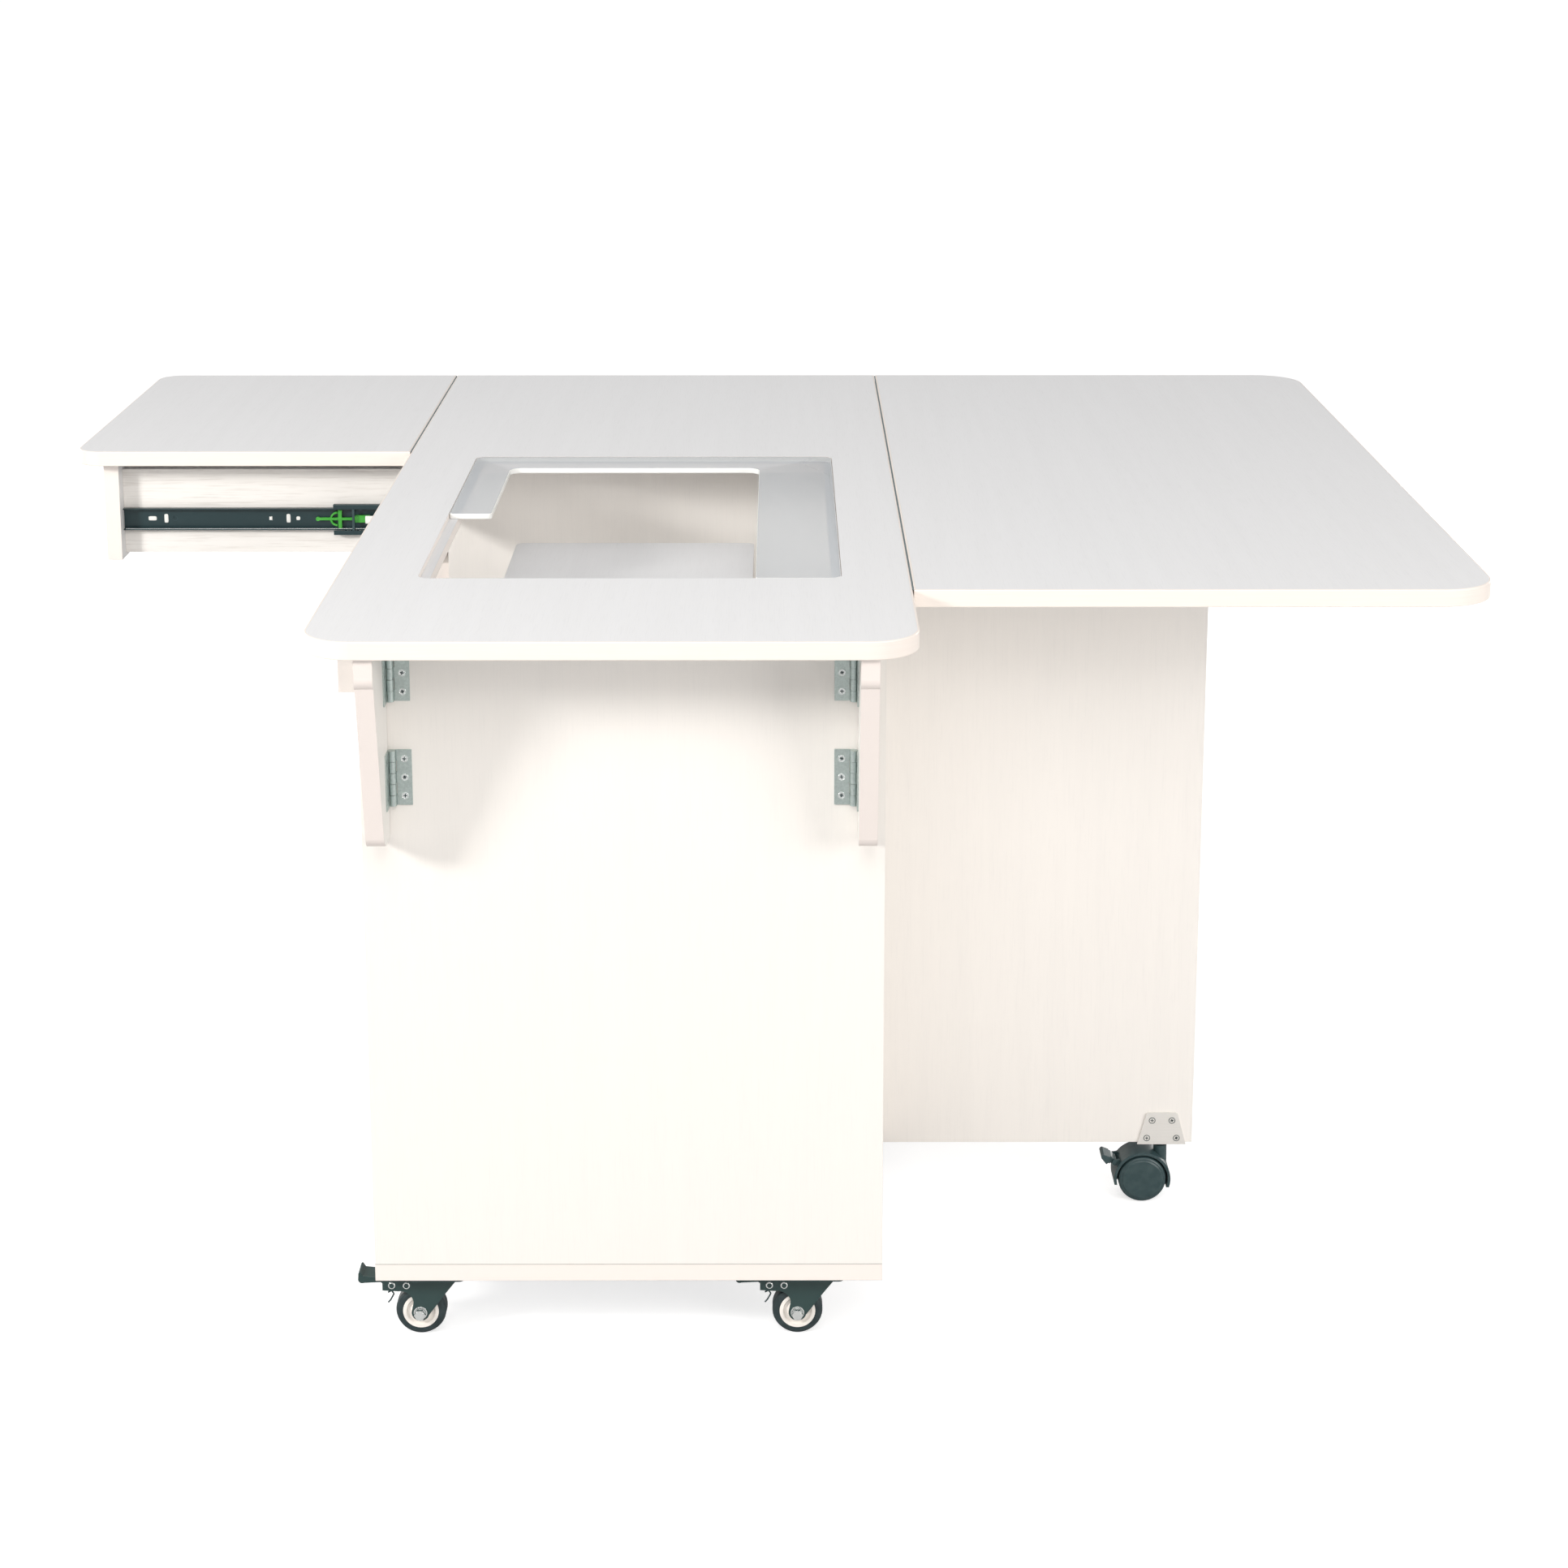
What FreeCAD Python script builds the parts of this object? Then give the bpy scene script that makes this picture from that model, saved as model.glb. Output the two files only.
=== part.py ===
import FreeCAD, Part
import math
import os

from FreeCAD import Vector

# A sewing table: a cabinet on casters with a machine well and lift, two flip-over leaves,
# a gate leg, two folding end brackets, a drawer that carries the front leaf, and a door.
# Millimetres. +Z up, the operator sits at -Y and faces +Y, +X is the operator's right.
# The origin is on the floor, at the middle of the box round the opened table.

# ---- Driving dimensions ----

BOARD = 18.0
BAND = 2.0  # thickness of the edge band on the worktop and leaves
BAND_ROUND = 1.2
TABLE_TOP = 762.0
UNDERSIDE = TABLE_TOP - BOARD
STAND_OFF = 0.5  # vertical gap above the leg and the brackets

WORKTOP_X = (-693.5, 693.5)
WORKTOP_Y = (-378.0, 202.0)
WORKTOP_CORNER = 48.0

SEAM = 1.5  # gap between the worktop and a leaf
FRONT_LEAF_X = (-693.5, -170.5)
FRONT_LEAF_Y = (-788.0, WORKTOP_Y[0] - SEAM)
FRONT_LEAF_CORNER = 30.0
BACK_LEAF_X = (-693.5, 501.5)
BACK_LEAF_Y = (WORKTOP_Y[1] + SEAM, 788.0)
BACK_LEAF_CORNER = 57.0

BARREL_R = 6.0
BARREL_LENGTH = 20.0
BARREL_SLACK = 0.05
FRONT_BARREL_X = (-620.0, -432.0, -244.0)
BACK_BARREL_X = (-600.0, -260.0, 80.0, 420.0)

WELL_X = (-142.0, 453.5)
WELL_Y = (-295.0, 133.0)
WELL_CORNER = 12.0
LEDGE = 10.0
INSERT_THICK = 6.0
INSERT_GAP = 0.5
MACHINE_SPACE_Y = (-248.0, 46.0)
MACHINE_SPACE_FAR_X = -75.0
FRONT_STRIP_END_X = 165.0

CARCASS_X = (-681.5, 600.0)
CARCASS_Y = (-337.0, 173.0)
BASE_Z = (70.0, 88.0)
DIVIDER_X = (-197.5, -179.5)
SHELF_Z = (330.0, 348.0)
FRONT_BOARD_Y = (CARCASS_Y[0] - BOARD, CARCASS_Y[0])
APRON_X = (-186.0, CARCASS_X[1])
APRON_DEPTH = 58.0

DRAWER_OUT = 403.0  # how far the drawer stands open
DRAWER_FRONT_X = (-677.5, -189.5)
DRAWER_FRONT_Z = (622.0, 742.0)
DRAWER_SIDE_Z = (627.0, 732.0)
DRAWER_WALL = 15.0
DRAWER_LENGTH = 450.0
DRAWER_FLOOR_Z = (635.0, 640.0)
GROOVE = 5.0
SLIDE_GAP = 13.0
SLIDE_Z = 670.0
SLIDE_SHEET = 1.2
OUTER_HALF = 22.8
MIDDLE_HALF = 19.0
INNER_HALF = 13.5
MIDDLE_LENGTH = 380.0
MIDDLE_FRONT_Y = -480.0

DOOR_X = (CARCASS_X[0], -189.5)
DOOR_GAP = 0.5
DOOR_Z = (74.0, 618.0)
DOOR_HINGE_Z = (130.0, 500.0)

BRACKET_REACH = 88.0
BRACKET_FOOT = 40.0
BRACKET_Z = (541.0, UNDERSIDE - STAND_OFF)
FRONT_BRACKET_Y = (-327.0, -309.0)
REAR_BRACKET_Y = (146.0, 164.0)
BRACKET_GAP = 0.5

HINGE_HEIGHT = 56.0
HINGE_R = 4.0
HINGE_PLATE = 1.5
HINGE_REACH = 19.0
HINGE_PIN_R = 1.8
KNUCKLES = 5
KNUCKLE_GAP = 0.3
RUNNING_FIT = 0.08
SCREW_PITCH = 18.7
SCREW_HEAD_R = 3.6
SCREW_SHANK_R = 1.7
SCREW_LENGTH = 14.0
BRACKET_HINGE_Z = (573.0, 678.0)

LEG_X = (259.0, 277.0)
LEG_Y = (175.0, 530.0)
LEG_Z = (68.0, UNDERSIDE - STAND_OFF)
LEG_HINGE_Z = (120.0, 378.0, 636.0)

LIFT_X = (-70.0, 438.0)
LIFT_Y = (-242.0, 40.0)
LIFT_TOP = 672.0
RAIL_X = (82.0, 286.0)
RAIL_WIDTH = 24.0
RAIL_DEPTH = 12.0
RAIL_Z = (92.0, 742.0)

CASTER_X = (-650.5, 569.0)
CASTER_Y = (-277.0, 106.0)
TRAIL = 18.0
WHEEL_R = 25.5
TYRE_HALF = 10.0
HUB_R = 18.2
AXLE_R = 4.0
FORK_HALF = 13.5
FORK_SHEET = 2.0
FORK_TOP = 66.0
TOP_PLATE_HALF = 29.0
TOP_PLATE_Z = (67.5, BASE_Z[0])
RIVETS = ((-28.5, 55.5), (-13.6, 55.5))  # along Y from the axle, and height

LEG_STEM = (268.0, 496.0)
LEG_WHEEL_Y = 475.0
LEG_WHEEL_R = 26.5
HOOD_R = 31.5
HOOD_SHEET = 3.0
HOOD_HALF = 17.0
LEG_AXLE_R = 3.0


# ---- Helpers ----


def box(x, y, z):
    """A block between three (low, high) pairs."""
    return Part.makeBox(x[1] - x[0], y[1] - y[0], z[1] - z[0], Vector(x[0], y[0], z[0]))


def rod(start, end, radius):
    """A round bar from one point to another."""
    start = Vector(*start)
    along = Vector(*end) - start
    return Part.makeCylinder(radius, along.Length, start, along)


def fuse(shapes):
    """One solid from several that touch."""
    return shapes[0].multiFuse(shapes[1:]).removeSplitter()


def group(shapes):
    """Separate solids kept in one node."""
    return Part.makeCompound(shapes)


def outline(start, steps, place):
    """A flat face from a start point and steps: a point for a line, a pair of points for an arc."""
    edges = []
    here = start
    for step in steps + [start]:
        if isinstance(step[0], tuple):
            middle, there = step
            edges.append(Part.Arc(place(*here), place(*middle), place(*there)).toShape())
        else:
            there = step
            edges.append(Part.LineSegment(place(*here), place(*there)).toShape())
        here = there
    return Part.Face(Part.Wire(edges))


def prism_x(start, steps, x):
    """A Y-Z outline carried along X between a (low, high) pair."""
    face = outline(start, steps, lambda y, z: Vector(x[0], y, z))
    return face.extrude(Vector(x[1] - x[0], 0, 0))


def prism_y(start, steps, y):
    """An X-Z outline carried along Y between a (low, high) pair."""
    face = outline(start, steps, lambda x, z: Vector(x, y[0], z))
    return face.extrude(Vector(0, y[1] - y[0], 0))


def upright_edges(shape, corners):
    """The vertical edges that stand on the given X-Y corners."""
    return [
        e
        for e in shape.Edges
        if e.BoundBox.ZLength > 1
        and any(
            math.hypot(e.BoundBox.Center.x - x, e.BoundBox.Center.y - y) < 0.01 for x, y in corners
        )
    ]


def round_corners(shape, corners, radius):
    """Rounds the vertical edges that stand on the given X-Y corners."""
    return shape.makeFillet(radius, upright_edges(shape, corners))


def banded_board(x, y, corners, radius):
    """A board of the top's height with its edge band: (core, band)."""
    z = (UNDERSIDE, TABLE_TOP)
    whole = round_corners(box(x, y, z), [(x[i], y[j]) for i, j in corners], radius)
    rims = [e for e in whole.Edges if e.BoundBox.ZLength < 0.01]
    whole = whole.makeFillet(BAND_ROUND, rims)
    core_x = (x[0] + BAND, x[1] - BAND)
    core_y = (y[0] + BAND, y[1] - BAND)
    core = box(core_x, core_y, z)
    core = round_corners(core, [(core_x[i], core_y[j]) for i, j in corners], radius - BAND)
    return core, whole.cut(core)


def barrels(xs, y, side, radius):
    """Round hinge bodies let into a board's edge at y, running away from it on the given side."""
    mid = TABLE_TOP - BOARD / 2
    return [rod((x, y, mid), (x, y + side * BARREL_LENGTH, mid), radius) for x in xs]


def turned(shape, angle, mirror, pin, z):
    """Puts a hinge leaf or screw, made round a pin at the origin, in its place."""
    if mirror:
        shape = shape.mirror(Vector(0, 0, 0), Vector(0, 1, 0))
    shape = shape.copy()
    shape.rotate(Vector(0, 0, 0), Vector(0, 0, 1), angle)
    shape.translate(Vector(pin[0], pin[1], z))
    return shape


# ---- Fastenings ----


def screw(head_at, inward):
    """A countersunk cross-head screw, head flush at head_at, point inward: (screw, its hole)."""
    head = Part.makeCone(SCREW_HEAD_R, SCREW_SHANK_R, SCREW_HEAD_R - SCREW_SHANK_R)
    hole = fuse([head, Part.makeCylinder(SCREW_SHANK_R, SCREW_LENGTH)])
    body = hole.copy()
    for turn in (0, 90):
        recess = Part.makeBox(3.6, 0.8, 1.0, Vector(-1.8, -0.4, -0.2))
        recess.rotate(Vector(0, 0, 0), Vector(0, 0, 1), turn)
        body = body.cut(recess)
    place = FreeCAD.Placement(Vector(*head_at), FreeCAD.Rotation(Vector(0, 0, 1), Vector(*inward)))
    body.Placement = place
    hole.Placement = place
    return body, hole


def bodies(screws):
    """The screws of a list of (screw, hole) pairs."""
    return [s[0] for s in screws]


def holes(screws):
    """One cutter from a list of (screw, hole) pairs."""
    return group([s[1] for s in screws])


def hinge_screws(reach):
    """The three screws of a hinge leaf made round a pin at the origin."""
    across = (HINGE_R + reach) / 2 + 0.4
    middle = HINGE_HEIGHT / 2
    return [
        screw((across, HINGE_PLATE - HINGE_R + 0.1, middle + n * SCREW_PITCH), (0, -1, 0))
        for n in (-1, 0, 1)
    ]


def hinge_leaf(own_rows, reach, with_pin):
    """A leaf along +X, on a surface at y = -HINGE_R, with the knuckles of its own rows."""
    step = HINGE_HEIGHT / KNUCKLES
    parts = [
        box((HINGE_R + 0.6, reach), (-HINGE_R, HINGE_PLATE - HINGE_R), (0, HINGE_HEIGHT)),
    ]
    for row in own_rows:
        z = (row * step + KNUCKLE_GAP / 2, (row + 1) * step - KNUCKLE_GAP / 2)
        parts.append(rod((0, 0, z[0]), (0, 0, z[1]), HINGE_R))
        parts.append(box((0, HINGE_R + 1), (-HINGE_R, HINGE_PLATE - HINGE_R), z))
    bore = HINGE_PIN_R if with_pin else HINGE_PIN_R + RUNNING_FIT
    leaf = fuse(parts).cut(rod((0, 0, -1), (0, 0, HINGE_HEIGHT + 1), bore))
    if with_pin:
        leaf = fuse([leaf, rod((0, 0, 0), (0, 0, HINGE_HEIGHT), HINGE_PIN_R)])
    return leaf


def hinge(pin, z, fixed_turn, moving_turn, moving_reach=HINGE_REACH):
    """A butt hinge: fixed leaf, moving leaf, fixed screws and moving screws, all in place."""
    out = []
    for rows, reach, with_pin, (angle, mirror) in (
        ((0, 2, 4), HINGE_REACH, True, fixed_turn),
        ((1, 3), moving_reach, False, moving_turn),
    ):
        screws = hinge_screws(reach)
        leaf = hinge_leaf(rows, reach, with_pin).cut(holes(screws))
        out.append(turned(leaf, angle, mirror, pin, z))
        out.append([tuple(turned(s, angle, mirror, pin, z) for s in pair) for pair in screws])
    fixed, fixed_screws, moving, moving_screws = out
    return fixed, moving, fixed_screws, moving_screws


def hinge_row(pin, heights, fixed_turn, moving_turn, moving_reach=HINGE_REACH):
    """Several hinges on one line, gathered by kind."""
    rows = [hinge(pin, z, fixed_turn, moving_turn, moving_reach) for z in heights]
    return (
        [r[0] for r in rows],
        [r[1] for r in rows],
        [s for r in rows for s in r[2]],
        [s for r in rows for s in r[3]],
    )


# ---- Tops ----


def well_cut():
    """The rabbet and the opening below it, as one cutter."""
    corners = [(x, y) for x in WELL_X for y in WELL_Y]
    seat = box(WELL_X, WELL_Y, (TABLE_TOP - INSERT_THICK - 0.2, TABLE_TOP + 1))
    seat = round_corners(seat, corners, WELL_CORNER)
    hole_x = (WELL_X[0] + LEDGE, WELL_X[1] - LEDGE)
    hole_y = (WELL_Y[0] + LEDGE, WELL_Y[1] - LEDGE)
    hole = box(hole_x, hole_y, (UNDERSIDE - 1, TABLE_TOP + 1))
    hole = round_corners(hole, [(x, y) for x in hole_x for y in hole_y], WELL_CORNER - 4)
    return seat.fuse(hole)


def worktop_parts():
    """The worktop's core and band, with the well and the hinge bores cut."""
    core, band = banded_board(WORKTOP_X, WORKTOP_Y, [(1, 0), (1, 1)], WORKTOP_CORNER)
    bore = BARREL_R + BARREL_SLACK
    bores = barrels(FRONT_BARREL_X, WORKTOP_Y[0], 1, bore)
    bores += barrels(BACK_BARREL_X, WORKTOP_Y[1], -1, bore)
    return core.cut(well_cut()).cut(group(bores)), band.cut(group(bores))


def worktop_barrels():
    """The halves of the leaf hinges that stay in the worktop."""
    return group(
        barrels(FRONT_BARREL_X, WORKTOP_Y[0], 1, BARREL_R)
        + barrels(BACK_BARREL_X, WORKTOP_Y[1], -1, BARREL_R)
    )


def leaf_parts(x, y, corners, radius, barrel_x, edge_y, side):
    """A leaf's core, band and hinge halves."""
    core, band = banded_board(x, y, corners, radius)
    bores = group(barrels(barrel_x, edge_y, side, BARREL_R + BARREL_SLACK))
    return core.cut(bores), band.cut(bores), group(barrels(barrel_x, edge_y, side, BARREL_R))


def acrylic_insert():
    """The clear plate round three sides of the machine, open at its near end."""
    x = (WELL_X[0] + INSERT_GAP, WELL_X[1] - INSERT_GAP)
    y = (WELL_Y[0] + INSERT_GAP, WELL_Y[1] - INSERT_GAP)
    z = (TABLE_TOP - INSERT_THICK, TABLE_TOP)
    plate = round_corners(box(x, y, z), [(a, b) for a in x for b in y], WELL_CORNER - INSERT_GAP)
    space = box((MACHINE_SPACE_FAR_X, x[1] + 1), MACHINE_SPACE_Y, (z[0] - 1, z[1] + 1))
    space = round_corners(space, [(MACHINE_SPACE_FAR_X, b) for b in MACHINE_SPACE_Y], 14.0)
    front = box((FRONT_STRIP_END_X, x[1] + 1), (y[0] - 1, MACHINE_SPACE_Y[0] + 1), (z[0] - 1, z[1] + 1))
    plate = plate.cut(space).cut(front).removeSplitter()
    ends = [(FRONT_STRIP_END_X, MACHINE_SPACE_Y[0]), (FRONT_STRIP_END_X, y[0])]
    ends.append((x[1], MACHINE_SPACE_Y[1]))
    plate = round_corners(plate, ends, 4.0)
    return plate.makeChamfer(0.4, [e for e in plate.Edges if e.BoundBox.ZLength < 0.01])


# ---- Carcass ----


def carcass_panels():
    """The upright panels, the base board, the back, the shelf and the apron, before screw holes."""
    inner_x = (CARCASS_X[0] + BOARD, CARCASS_X[1] - BOARD)
    back_y = (CARCASS_Y[1] - BOARD, CARCASS_Y[1])
    upright_z = (BASE_Z[1], UNDERSIDE)
    return {
        "right_side_panel": box((inner_x[1], CARCASS_X[1]), CARCASS_Y, upright_z),
        "left_side_panel": box((CARCASS_X[0], inner_x[0]), CARCASS_Y, upright_z),
        "pedestal_divider": box(DIVIDER_X, (CARCASS_Y[0], back_y[0]), upright_z),
        "base_board": box(CARCASS_X, CARCASS_Y, BASE_Z),
        "back_panel": box(inner_x, back_y, upright_z),
        "pedestal_shelf": box((inner_x[0], DIVIDER_X[0]), (-325.0, back_y[0]), SHELF_Z),
        "front_apron": box(APRON_X, FRONT_BOARD_Y, (UNDERSIDE - APRON_DEPTH, UNDERSIDE)),
    }


def bracket(y):
    """A folding end bracket: full reach under the worktop, tapering to a short foot."""
    root = CARCASS_X[1] + BRACKET_GAP
    tip = CARCASS_X[1] + BRACKET_REACH
    foot = CARCASS_X[1] + BRACKET_FOOT
    low, high = BRACKET_Z
    nose = 24.0  # depth of the square end under the worktop
    toe = 10.0  # radius of the rounded foot
    steps = [
        (root, low),
        (foot - toe, low),
        ((foot - toe * 0.3, low + toe * 0.3), (foot + 2.0, low + toe)),
        (tip - 5.0, high - nose - 6.0),
        ((tip - 1.0, high - nose - 1.0), (tip, high - nose + 6.0)),
        (tip, high),
    ]
    return prism_y((root, high), steps, y)


# ---- Drawer ----


def side_walls(y, z):
    """The drawer's two side walls, as (X range, inner face sign) pairs made into blocks."""
    left = CARCASS_X[0] + BOARD + SLIDE_GAP
    right = DIVIDER_X[0] - SLIDE_GAP
    return box((left, left + DRAWER_WALL), y, z), box((right - DRAWER_WALL, right), y, z)


def drawer_box():
    """Sides, inner front, back and grooved-in floor of the drawer."""
    start = FRONT_BOARD_Y[1] - DRAWER_OUT
    y = (start, start + DRAWER_LENGTH)
    left, right = side_walls(y, DRAWER_SIDE_Z)
    inner_x = (left.BoundBox.XMax, right.BoundBox.XMin)
    front = box(inner_x, (y[0], y[0] + DRAWER_WALL), DRAWER_SIDE_Z)
    back = box(inner_x, (y[1] - DRAWER_WALL, y[1]), DRAWER_SIDE_Z)
    floor = box(
        (inner_x[0] - GROOVE, inner_x[1] + GROOVE),
        (y[0] + DRAWER_WALL - GROOVE, y[1] - DRAWER_WALL + GROOVE),
        DRAWER_FLOOR_Z,
    )
    walls = [wall.cut(floor) for wall in (left, right, front, back)]
    return group(walls + [floor])


def channel(web_x, depth, half, y, lip):
    """A C-section slide member: web at web_x, flanges reaching by depth (its sign is the side)."""
    sign = 1 if depth > 0 else -1
    web = box(sorted((web_x, web_x + sign * SLIDE_SHEET)), y, (SLIDE_Z - half, SLIDE_Z + half))
    parts = [web]
    for up in (-1, 1):
        outer = SLIDE_Z + up * half
        parts.append(box(sorted((web_x, web_x + depth)), y, sorted((outer, outer - up * SLIDE_SHEET))))
        edge = web_x + depth
        parts.append(box(sorted((edge - sign * SLIDE_SHEET, edge)), y, sorted((outer, outer - up * lip))))
    return fuse(parts)


def slide_walls():
    """(cabinet face, drawer face, side) of the left and right slides; side points to the drawer."""
    left = CARCASS_X[0] + BOARD
    right = DIVIDER_X[0]
    return ((left, left + SLIDE_GAP, 1), (right, right - SLIDE_GAP, -1))


def outer_members():
    """The slide members fixed to the pedestal's walls."""
    y = (CARCASS_Y[0] + 2.0, CARCASS_Y[0] + 2.0 + DRAWER_LENGTH)
    return group([channel(wall, side * 10.5, OUTER_HALF, y, 3.0) for wall, _, side in slide_walls()])


def middle_members():
    """The slide members between the cabinet's and the drawer's, with a window at their front end."""
    y = (MIDDLE_FRONT_Y, MIDDLE_FRONT_Y + MIDDLE_LENGTH)
    out = []
    for wall, _, side in slide_walls():
        web = wall + side * 2.2
        member = channel(web, side * 7.0, MIDDLE_HALF, y, 2.4)
        window = box(
            sorted((web - side, web + side * 2.4)),
            (y[0] - 1, y[0] + 62.0),
            (SLIDE_Z - INNER_HALF, SLIDE_Z + INNER_HALF),
        )
        out.append(member.cut(window))
    return group(out)


def slot(face_x, side, y, half_y, half_z):
    """A cutter for a slot with round ends through a slide member's web."""
    long_half, short_half = max(half_y, half_z), min(half_y, half_z)
    x = sorted((face_x - 0.5 * side, face_x - (SLIDE_SHEET + 0.5) * side))
    cut = []
    for end in (-1, 1):
        shift = end * (long_half - short_half)
        dy, dz = (shift, 0) if half_y > half_z else (0, shift)
        cut.append(rod((x[0], y + dy, SLIDE_Z + dz), (x[1], y + dy, SLIDE_Z + dz), short_half))
    flat = (half_y - short_half, short_half) if half_y > half_z else (short_half, half_z - short_half)
    if long_half > short_half:
        cut.append(box(x, (y - flat[0], y + flat[0]), (SLIDE_Z - flat[1], SLIDE_Z + flat[1])))
    return fuse(cut) if len(cut) > 2 else cut[0]


def drawer_members():
    """The slide members on the drawer's sides, with their slots and screw holes."""
    start = FRONT_BOARD_Y[1] - DRAWER_OUT
    y = (start, start + DRAWER_LENGTH)
    near_openings = ((35, 5.2, 2.8), (52, 2.6, 5.6), (63, 2.6, 2.6))
    openings = near_openings + ((183, 2.6, 2.6), (203, 2.6, 5.6), (215, 2.6, 2.6))
    out = []
    for _, wall, side in slide_walls():
        member = channel(wall, -side * 7.6, INNER_HALF, y, 1.3)
        for along, half_y, half_z in openings:
            member = member.cut(slot(wall, side, start + along, half_y, half_z))
        out.append(member)
    return out


def release_lever(wall, side):
    """The plastic catch in the drawer's slide member: a finger tip, a bow and a cross bar."""
    x = sorted((wall - side * 1.6, wall - side * 5.6))
    y0 = MIDDLE_FRONT_Y
    z = SLIDE_Z
    finger = box(x, (y0 - 20.0, y0 + 30.0), (z - 1.5, z + 1.5))
    bow_outer = rod((x[0], y0 + 4.0, z), (x[1], y0 + 4.0, z), 9.0)
    bow = bow_outer.cut(rod((x[0], y0 + 4.0, z), (x[1], y0 + 4.0, z), 6.8))
    bow = bow.cut(box((x[0] - 1, x[1] + 1), (y0 + 4.0, y0 + 20.0), (z - 10, z + 10)))
    bar = box(x, (y0 + 5.0, y0 + 9.5), (z - 11.5, z + 11.5))
    hook = box(x, (y0 + 26.0, y0 + 44.0), (z - 4.5, z + 4.5))
    tip = rod((x[0], y0 - 20.0, z), (x[1], y0 - 20.0, z), 2.6)
    return fuse([finger, bow, bar, hook, tip])


# ---- Lift ----


def lift_rails():
    """Two upright guide rails with a row of latch notches, on the back panel."""
    wall = CARCASS_Y[1] - BOARD
    out = []
    for x in RAIL_X:
        rail = box((x - RAIL_WIDTH / 2, x + RAIL_WIDTH / 2), (wall - RAIL_DEPTH, wall), RAIL_Z)
        for height in range(240, 720, 60):
            rail = rail.cut(box((x - 5, x + 5), (wall - RAIL_DEPTH - 1, wall - 8.0), (height, height + 14)))
        out.append(rail)
    return group(out)


def lift_carriage():
    """Back plate, slider blocks, two arms with gussets and the handle's cross rod, welded up."""
    rail_face = CARCASS_Y[1] - BOARD - RAIL_DEPTH
    plate_y = (rail_face - 14.0, rail_face - 10.0)
    under = LIFT_TOP - BOARD
    parts = [box((RAIL_X[0] - 24, RAIL_X[1] + 24), plate_y, (under - 104, under))]
    for x in RAIL_X:
        for z in (under - 100, under - 34):
            block = box((x - 20, x + 20), (plate_y[1], rail_face + 8.0), (z, z + 30))
            groove = box(
                (x - RAIL_WIDTH / 2 - 0.4, x + RAIL_WIDTH / 2 + 0.4),
                (rail_face - 0.4, rail_face + 9.0),
                (z - 1, z + 31),
            )
            parts.append(block.cut(groove))
        arm_y = (LIFT_Y[0] + 20, plate_y[0])
        parts.append(box((x - 15, x + 15), arm_y, (under - 4, under)))
        gusset = [(plate_y[0], under - 90), (plate_y[0] - 30, under - 90), (LIFT_Y[0] + 20, under - 22)]
        gusset.append((LIFT_Y[0] + 20, under - 4))
        parts.append(prism_x((plate_y[0], under - 4), gusset, (x - 2, x + 2)))
    pivot_y, pivot_z = LIFT_Y[0] + 34, under - 14
    parts.append(rod((RAIL_X[0] - 6, pivot_y, pivot_z), (RAIL_X[1] + 6, pivot_y, pivot_z), 4.0))
    return fuse(parts)


def lift_handle():
    """The release handle: a sleeve on the cross rod with a flat paddle towards the operator."""
    middle = (RAIL_X[0] + RAIL_X[1]) / 2
    y, z = LIFT_Y[0] + 34, LIFT_TOP - BOARD - 14
    sleeve = rod((middle - 42, y, z), (middle + 42, y, z), 7.0)
    paddle = box((middle - 36, middle + 36), (y - 58, y), (z - 5, z - 1))
    paddle = round_corners(paddle, [(middle - 36, y - 58), (middle + 36, y - 58)], 12.0)
    grip = rod((middle - 22, y - 56, z - 4), (middle + 22, y - 56, z - 4), 3.4)
    bore = rod((middle - 43, y, z), (middle + 43, y, z), 4.0 + RUNNING_FIT)
    return fuse([sleeve, paddle, grip]).cut(bore)


# ---- Base casters ----


def caster_top_plate(x, y):
    """The fixed plate with its king pin, and the plate's four screws: (plate, screws)."""
    half = TOP_PLATE_HALF
    plate = box((x - half, x + half), (y - half, y + half), TOP_PLATE_Z)
    plate = round_corners(plate, [(x + i * half, y + j * half) for i in (-1, 1) for j in (-1, 1)], 6.0)
    pin = rod((x, y, FORK_TOP - 5.6), (x, y, TOP_PLATE_Z[0]), 5.0)
    head = rod((x, y, FORK_TOP - 5.8), (x, y, FORK_TOP - 2.8), 8.0)
    hole = half - 6.5
    screws = [
        screw((x + i * hole, y + j * hole, TOP_PLATE_Z[0]), (0, 0, 1)) for i in (-1, 1) for j in (-1, 1)
    ]
    return fuse([plate, pin, head]).cut(holes(screws)), screws


def fork_side(x, wheel_y):
    """One stamped side of the fork, from x inwards or outwards by its sheet."""
    axle_z = WHEEL_R
    steps = [
        (wheel_y - 38.0, 50.0),
        (wheel_y - 22.0, 49.0),
        ((wheel_y - 11.0, 45.5), (wheel_y - 6.8, 37.0)),
        (wheel_y - 8.6, axle_z + 2.65),
        ((wheel_y, axle_z - 9.0), (wheel_y + 8.6, axle_z - 2.65)),
        (wheel_y + 26.0, 46.7),
        (wheel_y + 38.0, 62.0),
        (wheel_y + 38.0, FORK_TOP),
    ]
    return prism_x((wheel_y - 38.0, FORK_TOP), steps, x)


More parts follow.
